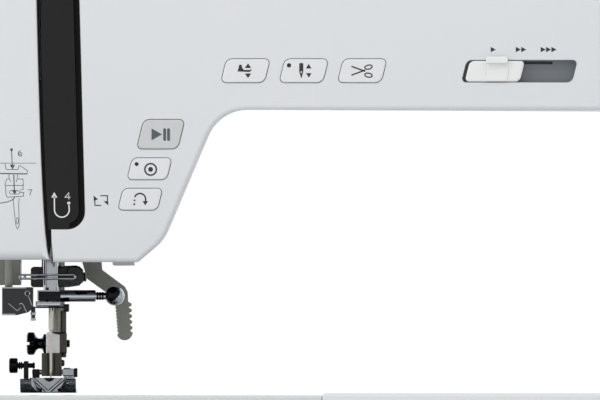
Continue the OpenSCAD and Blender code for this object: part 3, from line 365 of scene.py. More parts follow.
lean_side = 67  # lean of the head's flank
nose = (xn + 29.3, zb + head_gap + 19.8)
nose_end = arc(*nose, 19, lean_side - 90, 0, 1)[0]
knee = nose_end[0] + (za - nose_end[1]) / tan(radians(lean_side))
flank = (
    [(xn + 35.3, zb + head_gap)]
    + arc(*nose, 19, -51, lean_side - 90, 8)
    + arc(knee + 17 * tan(radians(lean_side / 2)), za - 17, 17, lean_side + 90, 90, 14)
    + arc(col_l - 14, za - 14, 14, 90, 0, 10)
    + [(col_l, zc)]
)
top_h = z_rim - zb
bay = (
    [(channel_right(top_h), z_rim)]
    + channel_bend(0, 0, -90)
    + [(xn + 1.5, zb + channel_h), (xn + 1.6, zb + 60)]
)
front_outline = [(xn + 2.3, zb + head_gap)] + flank + [(col_r, zc), (col_r, z_rim)] + bay
edge_roll = 2  # the bottom, the flank, the arm's underside and the column
front_rolls = [edge_roll] * (len(flank)) + [0, edge_roll, 0] + [0.7] * len(bay)


draft = 0.022  # rise of an underside for each millimetre of depth


def drafted(bm):
    """Lets the undersides of the covers rise towards the back, by the draft that frees them from the tool.
    It fades out over 120 mm before the column and over 40 mm below the lid."""
    for v in bm.verts:
        along = min(max((col_l - 14 - v.co.x) / 120, 0), 1)
        below = min(max((z_rim - 12 - v.co.z) / 40, 0), 1)
        v.co.z += (v.co.y - y_face) * draft * along * below
    return bm


front_cover = to_object("front_cover_shell", drafted(moulding(front_outline, front_rolls, y_face, y_split)))

seam = 0.3  # gap round the screen
key_pitch = 22.8
arm_keys = [(xn + 77.4 + key_pitch * i, za + 15.3) for i in range(3)]
start_key, tie_key, reverse_key = (xn + 44.3, zb + 102), (xn + 39.9, zb + 88.5), (xn + 36.3, zb + 76.6)
arm_key_shape = leaned(rounded(17, 9.2, 2.2))
start_shape = leaned(rounded(16, 11.4, 2.2))
head_key_shape = leaned(rounded(15.4, 8.4, 2))
slot_mid, slot_shape = (xn + 184.4, za + 15.1), leaned(rounded(43.4, 8.8, 2))
screen_low, screen_high = corners("lcd_window")
screen_mid = ((screen_low[0] + screen_high[0]) / 2, (screen_low[2] + screen_high[2]) / 2)


def opening(shape, middle, grow):
    """A cutter for a hole whose mouth flares by a tenth of a millimetre, so that its rim catches light."""
    ways = ((-1, 0.12), (0.03, 0.12), (0.2, 0), (wall + 2, 0))
    return solid([[(x, y_face + y, z) for x, z in moved(inset(shape, -grow - flare), *middle)] for y, flare in ways])


gap = 0.2  # round the buttons
holes = [opening(arm_key_shape, p, gap) for p in arm_keys]
holes.append(opening(start_shape, start_key, gap))
holes += [opening(head_key_shape, p, gap) for p in (tie_key, reverse_key)]
holes.append(opening(slot_shape, slot_mid, 0))
holes.append(opening(rounded(128, 84, 5), screen_mid, seam))
inner = inset(front_outline, wall)[1 : len(flank) + 3]
inner = [(xn + 18, zb + head_gap + wall)] + inner + [(xn + 18, z_rim - wall)]
hollow = [
    slab(inner, y_face + wall, y_split + 1),
    brick((xn + 18.5, y_face + wall + 0.5, z_rim - wall - 3), (col_r - wall, y_split + 1, z_rim + 1)),
    brick((xn - 2, y_face + 10, zb + head_gap + 2.6), (xn + 20, y_split + 1, z_rim + 1)),
    brick((xn - 2, y_face + 8, zb + head_gap - 1), (xn + 34, y_split + 1, zb + head_gap + 3)),
    brick((col_l + 10, y_face + 8, zc - 1), (col_r - 10, y_split + 1, zc + 4)),
]
carve(front_cover, holes + hollow)
dress(front_cover, white_abs, "machine", ["front_cover"])

# ------------
# Face cover: the left half of the head's front, a separate ABS moulding over the needle bar.
# It meets the front cover at the thread channel. A threading guide is pad-printed on it.

head_l = corners("face_cover")[0][0]
edge_h = [channel_h - 11.9 + (top_h - channel_h + 11.9) * (i / 16) ** 2 for i in range(17)]
face_edge = [(slit_x(h), zb + h) for h in edge_h]
face_outline = arc(head_l + 12, zb + head_gap + 12.9, 12, 180, 270, 10) + face_edge + [(head_l, z_rim)]
face_rolls = [4] * 11 + [0.7] * 16 + [0, 6]
face_cover = to_object("face_cover_shell", drafted(moulding(face_outline, face_rolls, y_face, y_split)))
inner = inset(face_outline, wall)
carve(face_cover, [
    slab(inner, y_face + wall, y_split + 1),
    brick((head_l + wall, y_face + wall, z_rim - wall - 2), (xn - 8, y_split + 1, z_rim + 1)),
    brick((xn - 12, y_face + 10, zb + head_gap + 3.5), (xn + 4, y_split + 1, z_rim + 1)),
    brick((head_l + 12, y_face + 8, zb + head_gap), (xn + 4, y_split + 1, zb + head_gap + 4)),
    brick((head_l - 1, yn - 18, zb + 94), (head_l + wall + 1, yn - 13, zb + 121)),
])
dress(face_cover, white_abs, "machine", ["face_cover"])


def line(points, width, closed=False):
    """A printed line of even width, as one four-sided patch for each stretch."""
    pts = [Vector(p) for p in points]
    sides = []
    for i, p in enumerate(pts):
        if closed:
            back, on = pts[i - 1], pts[(i + 1) % len(pts)]
        else:
            back, on = pts[max(i - 1, 0)], pts[min(i + 1, len(pts) - 1)]
        u = (p - back).normalized() if (p - back).length > 1e-6 else (on - p).normalized()
        v = (on - p).normalized() if (on - p).length > 1e-6 else u
        m = Vector((-u.y - v.y, u.x + v.x)).normalized()
        stretch = min(1 / max(m.dot(Vector((-u.y, u.x))), 0.4), 2)
        sides.append((p + m * width / 2 * stretch, p - m * width / 2 * stretch))
    count = len(pts) if closed else len(pts) - 1
    ends = [(sides[i], sides[(i + 1) % len(pts)]) for i in range(count)]
    return [[tuple(p) for p in (here[1], there[1], there[0], here[0])] for here, there in ends]


def lines(*strokes):
    """Several printed lines, each given by its width and its points."""
    return [patch for width, *points in strokes for patch in line(points, width)]


def dot(cx, cz, r, n=20):
    return [arc(cx, cz, r, 0, 360 - 360 / n, n - 1)]


ink_rise = 0.03


def printed(name, shapes, middle, y, ink, body="machine"):
    """Flat ink shapes that lie ink_rise proud of the surface at y, placed about a middle point."""
    bm = bmesh.new()
    for shape in shapes:
        shape = moved(shape, *middle)
        area = sum(a[0] * b[1] - b[0] * a[1] for a, b in zip(shape, shape[1:] + shape[:1]))
        bm.faces.new([bm.verts.new((x, y - ink_rise, z)) for x, z in (shape if area > 0 else shape[::-1])])
    piece = to_object(name, bm)
    piece.data.materials.append(ink)
    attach(piece, body)
    return piece


def ink(name, colour, second):
    """Pad-printing ink: thin, even and slightly matt, a trace lighter where the pad pressed less."""
    made, tree, shader = new_material(name, {"Roughness": 0.5, "IOR": 1.5})
    place = add_node(tree, "TexCoord")
    size = {"Scale": 1 / (1.5 * MM), "Detail": 2}
    press = add_node(tree, "TexNoise", values=size, links={"Vector": (place, "Object")})
    surface_marks(tree, shader, (colour, second), press)
    return made


# Slate for the icons, so that they read nearly black, a softer grey for the guide, and an off-white.
slate_ink = ink("pad_printed_slate_ink", "#1f2529", "#2b3135")
grey_ink = ink("pad_printed_grey_ink", "#4b5157", "#595f64")
white_ink = ink("pad_printed_white_ink", "#eceeee", "#d9dcdc")

six = arc(0, -0.45, 0.7, 0, 330, 14) + arc(0.55, -0.2, 1.3, 190, 105, 6)
seven = [(-0.75, 1.1), (0.75, 1.1), (0.35, 0.2), (0, -1.1)]
guide = (
    dot(-14, 96, 0.55)
    + line([(-14, 96), (-13.7, 89.8)], 0.32)
    + [[(-14.7, 90.1), (-12.6, 90.1), (-13.6, 88.2)]]
    + lines(
        (0.2, (-34, 90.7), (-4.4, 90.7)),
        (0.24, (-16.5, 90.5), (-16.2, 88.5), (-15.8, 88.2), (-11.7, 88.2), (-11.3, 88.5), (-11.1, 89.7),
         (-10.6, 89.7), (-7.8, 87.8), (-7.8, 86.7)),
        (0.45, (-34, 86.9), (-7.8, 86.5)),
        (0.24, (-15, 86.3), (-14.9, 84.6), (-14.3, 83.4)),
        (0.24, (-11.6, 86.3), (-11.8, 84.4), (-12.2, 83.4)),
        (0.24, (-15, 84.6), (-15.9, 84.5), (-16.6, 82.4), (-16.4, 82), (-9.4, 82), (-9.5, 84.5), (-11.6, 84.5)),
        (0.26, (-16.4, 81.9), (-16.1, 78.2), (-15.6, 77.4), (-9.4, 77.8), (-9.2, 79.2), (-10.8, 79.4)),
        (0.24, (-9.5, 82), (-9.5, 80.4), (-10.6, 80.2)),
    )
    + line(moved(rounded(4, 1.3, 0.5, 3), -12.8, 79.3), 0.22, True)
    + line([(-13.1, 86.2), (-12.9, 80)], 0.42)
    + [[(-13.9, 80.2), (-11.8, 80.1), (-12.8, 78.4)]]
    + lines(
        (0.34, (-26, 75.6), (-21, 75), (-18.2, 75.1), (-15.4, 75.6), (-13.6, 76.4), (-12.7, 77.4)),
        (0.24, (-13.4, 77.1), (-13.2, 74.7), (-12.3, 66.3), (-11.6, 64.9), (-11, 66.3), (-11.2, 74.7), (-11, 77.1)),
    )
    + line(moved([(x * 0.3, z) for x, z in arc(0, 0, 1.3, 0, 340, 12)], -11.7, 68.2), 0.2, True)
    + line(moved(six, -10.6, 94.6), 0.28)
    + line(moved(seven, -6.85, 79.2), 0.28)
)
printed("threading_guide", guide, (xn, zb), y_face, grey_ink)

# ------------
# Thread channel: a black ABS insert between the two covers that guides the thread down to the
# needle and round the take-up lever. Its flat tongue is matt, and its side walls are polished.

# Spark-eroded charcoal ABS: nearly black and without a clear reflection.
dimmed = {"Specular IOR Level": 0.3}
charcoal_abs = moulded_plastic("moulded_charcoal_abs", "#0e0f0e", "#0c0d0c", 0.6, 0.5, 0.02, dimmed)
# Polished black ABS: a deep black with sharp highlights.
faint = {"Specular IOR Level": 0.15}
gloss_abs = moulded_plastic("polished_black_abs", "#070808", "#090a0a", 0.14, 3, 0.002, faint)


def channel_line(off, h0, n=16):
    """Points up the channel's left edge, moved right by off."""
    hs = [h0 + (top_h - h0) * (i / n) ** 2 for i in range(n + 1)]
    return [(slit_x(h) + off, zb + h) for h in hs]


bed_shape = channel_line(0.15, 54.2) + [(channel_right(top_h) - 0.1, z_rim)] + channel_bend(0.1, 0, -90)
bed_shape += [(xn + 1.42, zb + channel_h), (xn + 1.5, zb + 60)]
floor_y = y_face + 7


def lever_slot():
    """A cutter for the slit that the take-up lever swings in."""
    return brick((xn - 8, y_face - 1, za + 12), (xn - 2.43, floor_y + 3, z_rim + 1))


bed = to_object("channel_walls", slab(bed_shape, floor_y, floor_y + 1.6))
right_wall = [(channel_right(top_h) - off, z_rim) for off in (0.12, 0.9)]
right_wall += channel_bend(0.9, 0, -88) + channel_bend(0.12, -88, 0)
carve(bed, [slab(right_wall[::-1], y_face + 0.9, floor_y + 1)], "UNION")
carve(bed, [lever_slot()])
dress(bed, gloss_abs, "machine", ["thread_channel"])
tongue_shape = channel_line(1.95, channel_h + 0.15) + [(channel_right(top_h) - 2.9, z_rim)]
tongue_shape += channel_bend(2.9, 0, -80) + [(channel_right(channel_h) - channel_r + 0.3, zb + channel_h + 0.7)]
tongue = to_object("channel_tongue", moulding(tongue_shape, 0.5, y_face + 0.8, floor_y + 0.4, 4))
carve(tongue, [lever_slot()])
dress(tongue, charcoal_abs, "machine")
hook_mark = (
    line([(2.7, 78)] + [(2.75, 74.5)] + arc(5.65, 72.5, 2.88, 180, 360, 18) + [(8.4, 74.9)], 0.5)
    + [[(1.5, 77.3), (3.9, 77.3), (2.65, 79.4)]]
    + dot(8.35, 75.1, 0.62)
    + line([(8.35, 76.6), (8.35, 79.2), (6.9, 77.4), (9, 77.4)], 0.3)
)
printed("channel_mark", hook_mark, (xn, zb), y_face + 0.8, white_ink, "machine")

# ------------
# Rear cover: the back half of the shell in the same ABS, with cooling slots in the column,
# the handle's lugs and the lid's hinge ears. Its rear edges are rolled like the front ones.


def in_millimetres(mesh):
    """A copy of a mesh, with millimetres for its unit."""
    bm = bmesh.new()
    bm.from_mesh(mesh)
    bm.transform(Matrix.Scale(1 / MM, 4))
    return bm


def from_cad(node):
    """A copy of a CAD solid with its flat faces merged, ready for its edges to be worked."""
    bm = in_millimetres(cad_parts[node].data)
    bmesh.ops.remove_doubles(bm, verts=bm.verts, dist=0.002)
    bmesh.ops.dissolve_limit(bm, angle_limit=radians(0.6), verts=bm.verts, edges=bm.edges)
    return bm


y_back = corners("rear_cover")[1][1]
rear = drafted(from_cad("rear_cover"))


def outer_rear(p):
    vents = col_l + 30 < p.x < col_r - 30 and zb + 20 < p.z < zb + 110
    return abs(p.y - y_back) < 0.05 and not vents and p.z < z_rim - 2


def built(name, parts, material, body, replaced=()):
    """One finished piece from its solids."""
    whole = parts[0] if len(parts) == 1 else together(parts)
    return dress(to_object(name, whole), material, body, replaced)


soften(rear, 5, 40, 5, outer_rear)
built("rear_cover_shell", [rear], white_abs, "machine", ["rear_cover"])

# ------------
# Buttons: six ABS caps with rounded rims that move on their switches behind the cover.
# The start button is a shade darker, and two of the caps carry a small black light window.

# Fine-grained ABS caps: the cover's colour, a little smoother, so that their rims catch light.
key_abs = moulded_plastic("moulded_key_abs", "#e3e5e8", "#e0e2e5", 0.32, 0.5, 0.005)
start_abs = moulded_plastic("moulded_grey_key_abs", "#ccced0", "#c9cbcd", 0.32, 0.5, 0.005)
cap_back = corners("start_button")[1][1]
y_key = corners("start_button")[0][1]


def key(name, shape, middle, body, icon, material=key_abs, icon_ink=slate_ink):
    """A cap with its rim rolled over, and its printed icon."""
    outline = moved(shape, *middle)
    cap = moulding(outline, 0.6, y_key, cap_back, 4)
    built(name + "_cap", [cap], material, body, [name])
    printed(name.replace("button", "mark"), icon, middle, y_key, icon_ink, body)


def triangle(cx, cz, w, h):
    return [[(cx - w / 2, cz), (cx + w / 2, cz), (cx, cz + h)]]


foot_icon = [
    [(-3.05, -0.3), (-2.95, 0.3), (-2.6, 1.4), (-2.45, 2.35), (-1.45, 2.35), (-1.3, 1.15), (-0.6, 0.3), (1.75, 0.3),
     (2.45, 0.6), (2.3, 0), (1.5, -0.5)]
] + triangle(1, 1.05, 2.5, 1.8) + triangle(1, -1.1, 2.4, -1.85)
key("presser_button", arm_key_shape, arm_keys[0], "key_presser", foot_icon)

needle_icon = (
    [[(-1.8, 2.7), (-1.5, 3), (-0.5, 3), (-0.2, 2.7), (-0.2, 0.3), (-0.75, 0.3), (-0.75, -0.2), (-1.25, -0.2),
      (-1.25, 0.3), (-1.8, 0.3)]]
    + [[(-1.8, 0.3), (-1.25, 0.3), (-1.25, -0.6), (-1, -1.1), (-1, -3.1), (-1.75, -0.6)]]
    + [[(-0.2, 0.3), (-0.25, -0.6), (-1, -3.1), (-1, -1.1), (-0.75, -0.6), (-0.75, 0.3)]]
    + triangle(1.9, 0.85, 2.2, 1.8)
    + triangle(1.95, -0.95, 2.2, -1.75)
)
key("needle_button", arm_key_shape, arm_keys[1], "key_needle", needle_icon)
# Smoked acrylic of the lamps in the keys: black and glossy while they are off.
clear_coat = {"Coat Weight": 0.3}
light_window = moulded_plastic("smoked_light_window", "#060607", "#09090a", 0.15, 2, 0.001, clear_coat)
printed("needle_light", dot(-5.8, 2.1, 0.85), arm_keys[1], y_key, light_window, "key_needle")

scissors = lines((0.55, (-4.2, 1.7), (1.2, -0.25)), (0.55, (-4.2, -1.75), (1.2, 0.25)))
for loop_z, tilt in ((1.4, 12), (-1.75, -10)):
    c, s = cos(radians(tilt)), sin(radians(tilt))
    ring = [(2.45 + 1.45 * cos(a) * c - 0.78 * sin(a) * s,
             loop_z + 1.45 * cos(a) * s + 0.78 * sin(a) * c) for a in [k * pi / 12 for k in range(24)]]
    scissors += line(ring, 0.5, True)
key("cutter_button", arm_key_shape, arm_keys[2], "key_cutter", scissors)

start_icon = [[(-3.6, -2.4), (0.55, -0.1), (-3.6, 2.3)]] + [
    moved(rounded(1.15, 4.9, 0.45, 4), x, -0.15) for x in (1.55, 3.05)
]
key("start_button", start_shape, start_key, "key_start", start_icon, start_abs, grey_ink)

tie_icon = line(arc(0.45, -0.25, 2.25, 0, 348, 29), 0.62, True) + dot(0.45, -0.25, 0.95)
key("tie_off_button", head_key_shape, tie_key, "key_tie_off", tie_icon)
printed("tie_off_light", dot(-5, 1.85, 0.78), tie_key, y_key, light_window, "key_tie_off")

back_icon = (
    line(arc(-0.1, 0.05, 2.2, 160, 0, 18) + [(2.1, -0.9)], 0.6)
    + [[(0.9, -0.75), (3.1, -0.75), (1.95, -2.4)]]
    + dot(-2.25, -0.45, 0.38)
    + dot(-2.35, -1.95, 0.42)
)
key("reverse_button", head_key_shape, reverse_key, "key_reverse", back_icon)
cycle = (
    line([(18.55, 76.6), (18.6, 74.2), (21, 74.2)], 0.42)
    + [[(18, 78.1), (19.8, 76.6), (18.2, 76)]]
    + line([(20.7, 78), (23.5, 78), (23.45, 75.6)], 0.42)
    + [[(22, 75.8), (23.7, 75.9), (23.9, 74.1)]]
)
printed("cycle_mark", cycle, (xn, zb), y_face, slate_ink)

# ------------
# Speed slider: a white knob with a raised grip that runs in a dark leaning pocket of the arm.
# Three printed arrows above the pocket stand for slow, medium and fast.

# Smoke-grey polycarbonate lining: satin, so that it fades from black at its roof to grey at its floor.
smoke_lining = moulded_plastic("smoke_grey_lining", "#7c8288", "#757b81", 0.3, 1, 0.004)
knob_high = corners("speed_slider")[1]
knob_mid = (xn + 174.8, slot_mid[1])
lining = to_object("slider_lining", slab(moved(inset(slot_shape, 0.04), *slot_mid), y_face + 0.9, y_face + 5.2))
carve(lining, [
    slab(moved(inset(slot_shape, 0.25), *slot_mid), y_face, y_face + 4.3),
    brick((knob_mid[0] - 2.4, y_face + 3, knob_mid[1] + 2.8), (knob_mid[0] + 22.6, y_face + 6, knob_mid[1] + 3.9)),
])
dress(lining, smoke_lining, "machine")
knob_shape = moved(leaned(rounded(21.6, 8.2, 1.8)), *knob_mid)
knob = moulding(knob_shape, 0.9, y_face - 0.4, y_face + 3.9, 4)
saddle = moved([(-4.3, -4), (4.9, -4), (5.4, 0), (5.3, 3.4), (-3.2, 3.4), (-3.2, 0)], *knob_mid)
saddle = moulding(saddle, 0.7, y_face - 1.1, y_face + 0.4, 4)
grip_shape = moved(rounded(8.6, 2.7, 0.6, 4), knob_mid[0] + 0.8, knob_mid[1] + 4.35)
grip = moulding(grip_shape, 0.5, y_face - 3, y_face + 0.4, 3)
knob_x, knob_z = knob_mid
stem = brick((knob_x - 2, y_face + 3.6, knob_z + 2.95), (knob_x + 2, knob_high[1], knob_z + 3.75))
# Polished ABS: the brightest white on the machine, with a clear rim light.
bright_abs = moulded_plastic("polished_white_abs", "#eceded", "#e9eaeb", 0.16, 2, 0.002, clear_coat)
built("slider_knob", [knob, grip, stem, saddle], bright_abs, "slider", ["speed_slider"])
marks = []
for start, count in ((173.2, 1), (183, 2), (192.7, 3)):
    marks += [[(start + 2.1 * i, 134), (start + 2.1 * i + 2, 135.05), (start + 2.1 * i, 136.1)] for i in range(count)]
printed("speed_marks", marks, (xn, zb), y_face, slate_ink)

# ------------
# Work lamp: an LED behind a frosted polycarbonate lens, clipped in the head's underside.

# Frosted polycarbonate: milky, passes light and blurs it.
part_clear = {"Transmission Weight": 0.35}
frosted_lens = moulded_plastic("frosted_polycarbonate", "#d8dcdd", "#cfd4d6", 0.35, 0.6, 0.01, part_clear)
lamp_body = soften(from_cad("led_lamp"), 0.5, 40, 3)
built("work_lamp", [lamp_body], frosted_lens, "machine", ["led_lamp"])

# ------------
# Needle bar, clamp, screw and needle. The bar is ground and chromed steel; the clamp is a black
# oxide block with a chromed band, and thin chrome strips on its top and left edges that are painted highlights; a
# turned, chromed screw with a ball end grips the needle.


def worked_metal(name, colour, second, roughness, grain_mm, stretch, depth_mm=0.002, metallic=1):
    """Metal with the fine marks of its working, stretched along them; gloss and tone vary with them.
    Tool marks are near 0.05 mm wide, and each grain_mm is drawn coarser, so that they show."""
    made, tree, shader = new_material(name, {"Metallic": metallic})
    place = add_node(tree, "TexCoord")
    size = {"Scale": tuple(1 / (grain_mm * MM * s) for s in stretch)}
    along = add_node(tree, "Mapping", values=size, links={"Vector": (place, "Object")})
    marks = add_node(tree, "TexNoise", values={"Scale": 1, "Detail": 3}, links={"Vector": (along, "Vector")})
    surface_marks(tree, shader, (colour, second), marks, marks, (roughness * 0.7, roughness * 1.3), 0.4, depth_mm)
    return made


# Chromed steel: a mirror with a faint blue-grey cast and hardly any marks.
chrome = worked_metal("chromed_steel", "#c9cdd2", "#b9bec4", 0.07, 1.2, (1, 1, 6))
# Ground steel: round bars finished on a centreless grinder, soft streaks along the bar.
ground_steel = worked_metal("ground_steel", "#8e8b86", "#75726d", 0.24, 0.5, (1, 1, 14))
# Black oxide on polished steel: near black, glossy, a little uneven.
oxide_steel = worked_metal("black_oxide_steel", "#1b1c1f", "#2b2d31", 0.2, 1, (1, 1, 1), 0.004)
# Satin nickel: warm grey and softly blurred.
satin_nickel = worked_metal("satin_nickel", "#a5a6a5", "#8f908f", 0.3, 0.5, (4, 1, 1))


origin = (xn, yn, zb)  # the small parts are drawn about the point of the bed under the needle


def block(low, high, roll, segments=2, chosen=None):
    """A rectangular block with its edges rolled over."""
    return soften(brick(*[[v + o for v, o in zip(p, origin)] for p in (low, high)]), roll, 40, segments, chosen)


def plate(points, y0, y1):
    """An outline in X and Z, drawn out along Y."""
    return slab(moved(points, xn, zb), yn + y0, yn + y1)


def turned(profile, axis, at, n=36):
    """A lathe-turned solid; profile lists (place along the axis, radius), at is a point on the axis."""
    at = [a + o for a, o in zip(at, origin)]
    start = origin["xyz".index(axis)]
    rings = []
    for along, r in profile:
        along = start + along
        ring = []
        for i in range(n):
            a = 2 * pi * i / n
            u, v = r * cos(a), r * sin(a)
            ring.append({"x": (along, at[1] + u, at[2] + v), "y": (at[0] + v, along, at[2] + u),
                         "z": (at[0] + u, at[1] + v, along)}[axis])
        rings.append(ring)
    return solid(rings)


def collar_at(start, width, low, high, axis, at, n, lead=0.1):
    """A turned collar of radius high on a spindle of radius low, with short leads at its ends."""
    profile = [(start, low), (start + lead, high), (start + (width - lead), high), (start + width, low)]
    return turned(profile, axis, at, n)


bar_top = corners("needle_bar")[1][2] - zb
on_needle = (0, 0, 0)
bar = turned([(35.4, 2.6), (35.8, 3.1), (bar_top - 1, 3.2), (bar_top - 0.4, 2.9), (bar_top, 2.2)], "z", on_needle)
stud = block((-6, -6, 102.5), (6, 6, 112.5), 0.8)
stud_pin = turned([(5, 3), (8.2, 3), (8.6, 2.6)], "x", (0, 0, 107.5))
built("needle_bar_rod", [bar, stud, stud_pin], chrome, "needle_bar_body", ["needle_bar"])

clamp = block((-5.2, -6.5, 37.2), (3.9, 6, 41.5), 0.7, 3)
lip_shape = [(-5.9, 34.4), (5, 34.4), (5.6, 33.4), (7.3, 33.4), (7.3, 36), (5.2, 36), (5, 35.1), (-5.9, 35.1)]
lip = soften(plate(lip_shape, -7, 2), 0.2, 30, 2)
peg = turned([(32.9, 0.9), (33.1, 1.2), (35, 1.2)], "z", (6.1, -4, 0))
built("clamp_block", [clamp, lip, peg], oxide_steel, "needle_bar_body", ["needle_clamp"])
band = block((-5.9, -6.8, 35.2), (3.9, 5.8, 37.1), 0.45, 3)
# Thin chrome strips along the clamp's top and left front edges are painted highlights.
rims = [plate(moved(rounded(8.8, 0.4, 0.15, 3), -0.8, 41.2), -6.7, -5),
        plate(moved(rounded(0.45, 4, 0.15, 3), -5, 39.3), -6.7, -5)]
built("clamp_band_and_painted_edge_highlights", [band] + rims, chrome, "needle_bar_body")

on_screw = (0, 0, 39.2)
ball_x, ball_r = 25.2, 3.9
sleeve_profile = [(3.6, 2.1), (3.9, 2.35), (17.2, 2.35), (17.7, 2.1), (17.75, 1.45), (22, 1.4)]
sleeve = turned(sleeve_profile, "x", on_screw, 40)
ball = turned([(ball_x + ball_r * -cos(t), max(ball_r * sin(t), 0.02)) for t in
               [radians(22 + 158 * k / 18) for k in range(19)]], "x", on_screw, 40)
built("clamp_screw_body", [sleeve, ball], chrome, "clamp_screw", ["needle_clamp_screw"])
neck = [collar_at(x, 0.65, 1.5, 1.62, "x", on_screw, 36, 0.15) for x in (18.1, 19.1, 20.1)]
dark_dome = turned([(-1.6 - 2.55 * cos(t), max(3.25 * sin(t), 0.02)) for t in
                    [radians(90 * k / 10) for k in range(11)]], "y", (ball_x - 0.45, 0, 39.65), 32)
built("screw_knob_inlay", [dark_dome] + neck, oxide_steel, "clamp_screw")

needle_shank = turned([(25.2, 0.62), (26.4, 1), (44, 1)], "z", on_needle, 24)
blade = turned([(6, 0.03), (9, 0.45), (10, 0.5), (24, 0.52), (25.3, 0.64)], "z", on_needle, 24)
# Polished nickel-plated steel: the brightest and smoothest metal here.
needle_plating = worked_metal("polished_nickel_plate", "#d6d3cc", "#c5c2bb", 0.12, 0.6, (1, 1, 10))
needle_piece = to_object("needle_blade", together([blade, needle_shank]))
carve(needle_piece, [turned([(-1, 0.2), (1, 0.2)], "y", (0, 0, 10.6), 12),
                     brick((xn - 0.14, yn - 1, zb + 12), (xn + 0.14, yn - 0.25, zb + 24))])
dress(needle_piece, needle_plating, "needle_bar_body", ["needle"])

# ------------
# Thread guide and its bracket: a chromed wire loop bent round in front of the needle bar, held
# by a black steel bracket whose screw boss stands on its right.


def wire(points, r, n=10):
    """Round wire bent along a closed loop that faces the front."""
    pts, flat = [Vector(p) for p in points], Vector((0, 1, 0))
    rings = []
    for i in list(range(len(pts))) + [0]:
        t = (pts[(i + 1) % len(pts)] - pts[i - 1]).normalized()
        side = t.cross(flat)
        rings.append([tuple(pts[i] + r * (cos(a) * side + sin(a) * flat))
                      for a in [2 * pi * k / n for k in range(n)]])
    return solid(rings)


loop = [(x, yn - 9.5, z) for x, z in moved(rounded(21.9, 1.5, 0.74, 6), xn - 1.2, zb + 46.7)]
tail = block((-10.6, -9.2, 46.1), (-9.5, 7.6, 47.3), 0.3)
built("thread_guide_wire", [wire(loop, 0.42), tail], chrome, "machine",
      ["lower_thread_guide"])
# Enamelled black steel: smooth baked paint, satin, dark in every light.
black_enamel = moulded_plastic("baked_black_enamel", "#141518", "#1a1b1f", 0.28, 0.6, 0.006)
arm_shape = [(-8.2, 43.4), (-7.4, 42.7), (6.6, 42.7), (11.4, 43.4), (11.4, 50.2), (10.2, 51.4), (5.4, 51.2),
             (3.4, 50.6), (-7, 50.9), (-8.2, 50.2)]
arm_plate = soften(plate(arm_shape, 7.5, 11), 0.5, 20, 2)
post = block((-3.9, 7.7, 49), (2.3, 11, 55), 0.4)
boss_shape = [(-3.3, -1.8), (-1.9, -3.6), (1.6, -3.8), (3.2, -2.4), (3.2, 2.4), (1.7, 3.8), (-1.8, 3.9), (-3.3, 2.6)]
boss = moulding(moved(boss_shape, xn + 9.4, zb + 47.2), 0.7, yn + 3.4, yn + 7.8, 3)
side_knob = turned([(12.3, 1.5), (12.6, 2), (13, 1.7), (13.5, 2), (13.9, 1.4)], "x", (0, 6, 46.8), 16)
built("guide_bracket", [arm_plate, post, boss, side_knob], black_enamel, "machine",
      ["needle_bar_bracket"])

# ------------
# Presser bar, foot holder and foot screw. The bar is ground steel; the holder is a dark nickelled
# casting with a flute; the screw is a spool-shaped turned part with a slot.

on_bar = (2.2, 16, 0)  # the presser bar's axis
px, py = xn + on_bar[0], yn + on_bar[1]
bar_high = corners("presser_bar")[1][2] - zb
press_bar = turned([(18, 2.5), (18.6, 2.9), (bar_high - 0.8, 2.9), (bar_high, 2.3)], "z", on_bar)
collar = turned([(101.5, 5.2), (101.9, 5.5), (107.1, 5.5), (107.5, 5.2)], "z", on_bar)
built("presser_bar_rod", [press_bar, collar], ground_steel, "presser", ["presser_bar"])
# Dark nickel on a casting: brownish grey with a soft broad reflection.
dark_nickel = worked_metal("dark_nickel_casting", "#5a5651", "#45423e", 0.3, 0.7, (1, 1, 8))
hold_y = yn + 9
flute = [(-3.9, 0), (-3.9, -1), (-3.2, -1.4), (-1.6, -1.4), (-1.2, -0.6), (1, -0.6), (1.4, -1.4), (3.2, -1.4),
         (3.9, -1), (3.9, 0)]
lower_block = to_object("foot_holder_casting", solid(
    [[(xn + x, hold_y + 1.4 + y, z) for x, y in flute] + [(xn + 3.9, hold_y + 12, z), (xn - 3.9, hold_y + 12, z)]
     for z in (zb + 7.6, zb + 16.7)]))
sleeve_block = block((-1.9, 12, 16.4), (5.9, 20.6, 25), 0.7, 3)
side_leg = block((3.9, 12.8, 15), (5.7, 18, 33.5), 0.5, 3)
holder_nub = turned([(3.6, 1.3), (4.6, 1.3), (5, 0.9)], "x", (0, 16, 12.8), 20)
on_pin = (0, 14.5, 9.2)  # the pin that the foot rocks on
carve(lower_block, [sleeve_block, side_leg, holder_nub], "UNION")
carve(lower_block, [
    turned([(18, 2.92), (36, 2.92)], "z", on_bar, 36),
    turned([(-5, 1.3), (5, 1.3)], "x", on_pin, 24),
    brick((xn - 5, yn + 13.3, zb + 7), (xn + 5, yn + 15.7, zb + 9.2)),
])
dress(lower_block, dark_nickel, "presser", ["presser_foot_holder"])
# Nickel, half metallic, in a colour near white that is a painted reflection of the bright room: the front plate reads
# nearly white.
nickel_with_painted_glare = worked_metal("nickel_with_painted_glare", "#f2f2f1", "#e9e9e8", 0.3, 2, (1, 1, 1), 0.001, 0.55)
front_plate = moved([(-2, 16.6), (3.2, 16.6), (3.2, 24), (-1, 24.9), (-2, 24.9)], xn, zb)
built("holder_front_plate", [soften(slab(front_plate, py - 4.7, py - 3.9), 0.2)], nickel_with_painted_glare, "presser")
on_foot_screw = (0, 16, 20.5)
hz = zb + on_foot_screw[2]
spool = [(-9.9, 3.6), (-9.5, 4.3), (-9, 4.5), (-7.4, 4.5), (-6.8, 4.1), (-6.3, 2.9), (-5.6, 2.2), (-4.6, 2),
         (-3.9, 2.3), (-3.5, 3.3), (-3.2, 3.8), (-2.25, 3.8)]
foot_screw = to_object("foot_screw_spool", turned(spool, "x", on_foot_screw, 40))
knurl_r = 4.75  # radius that the grooves lie on
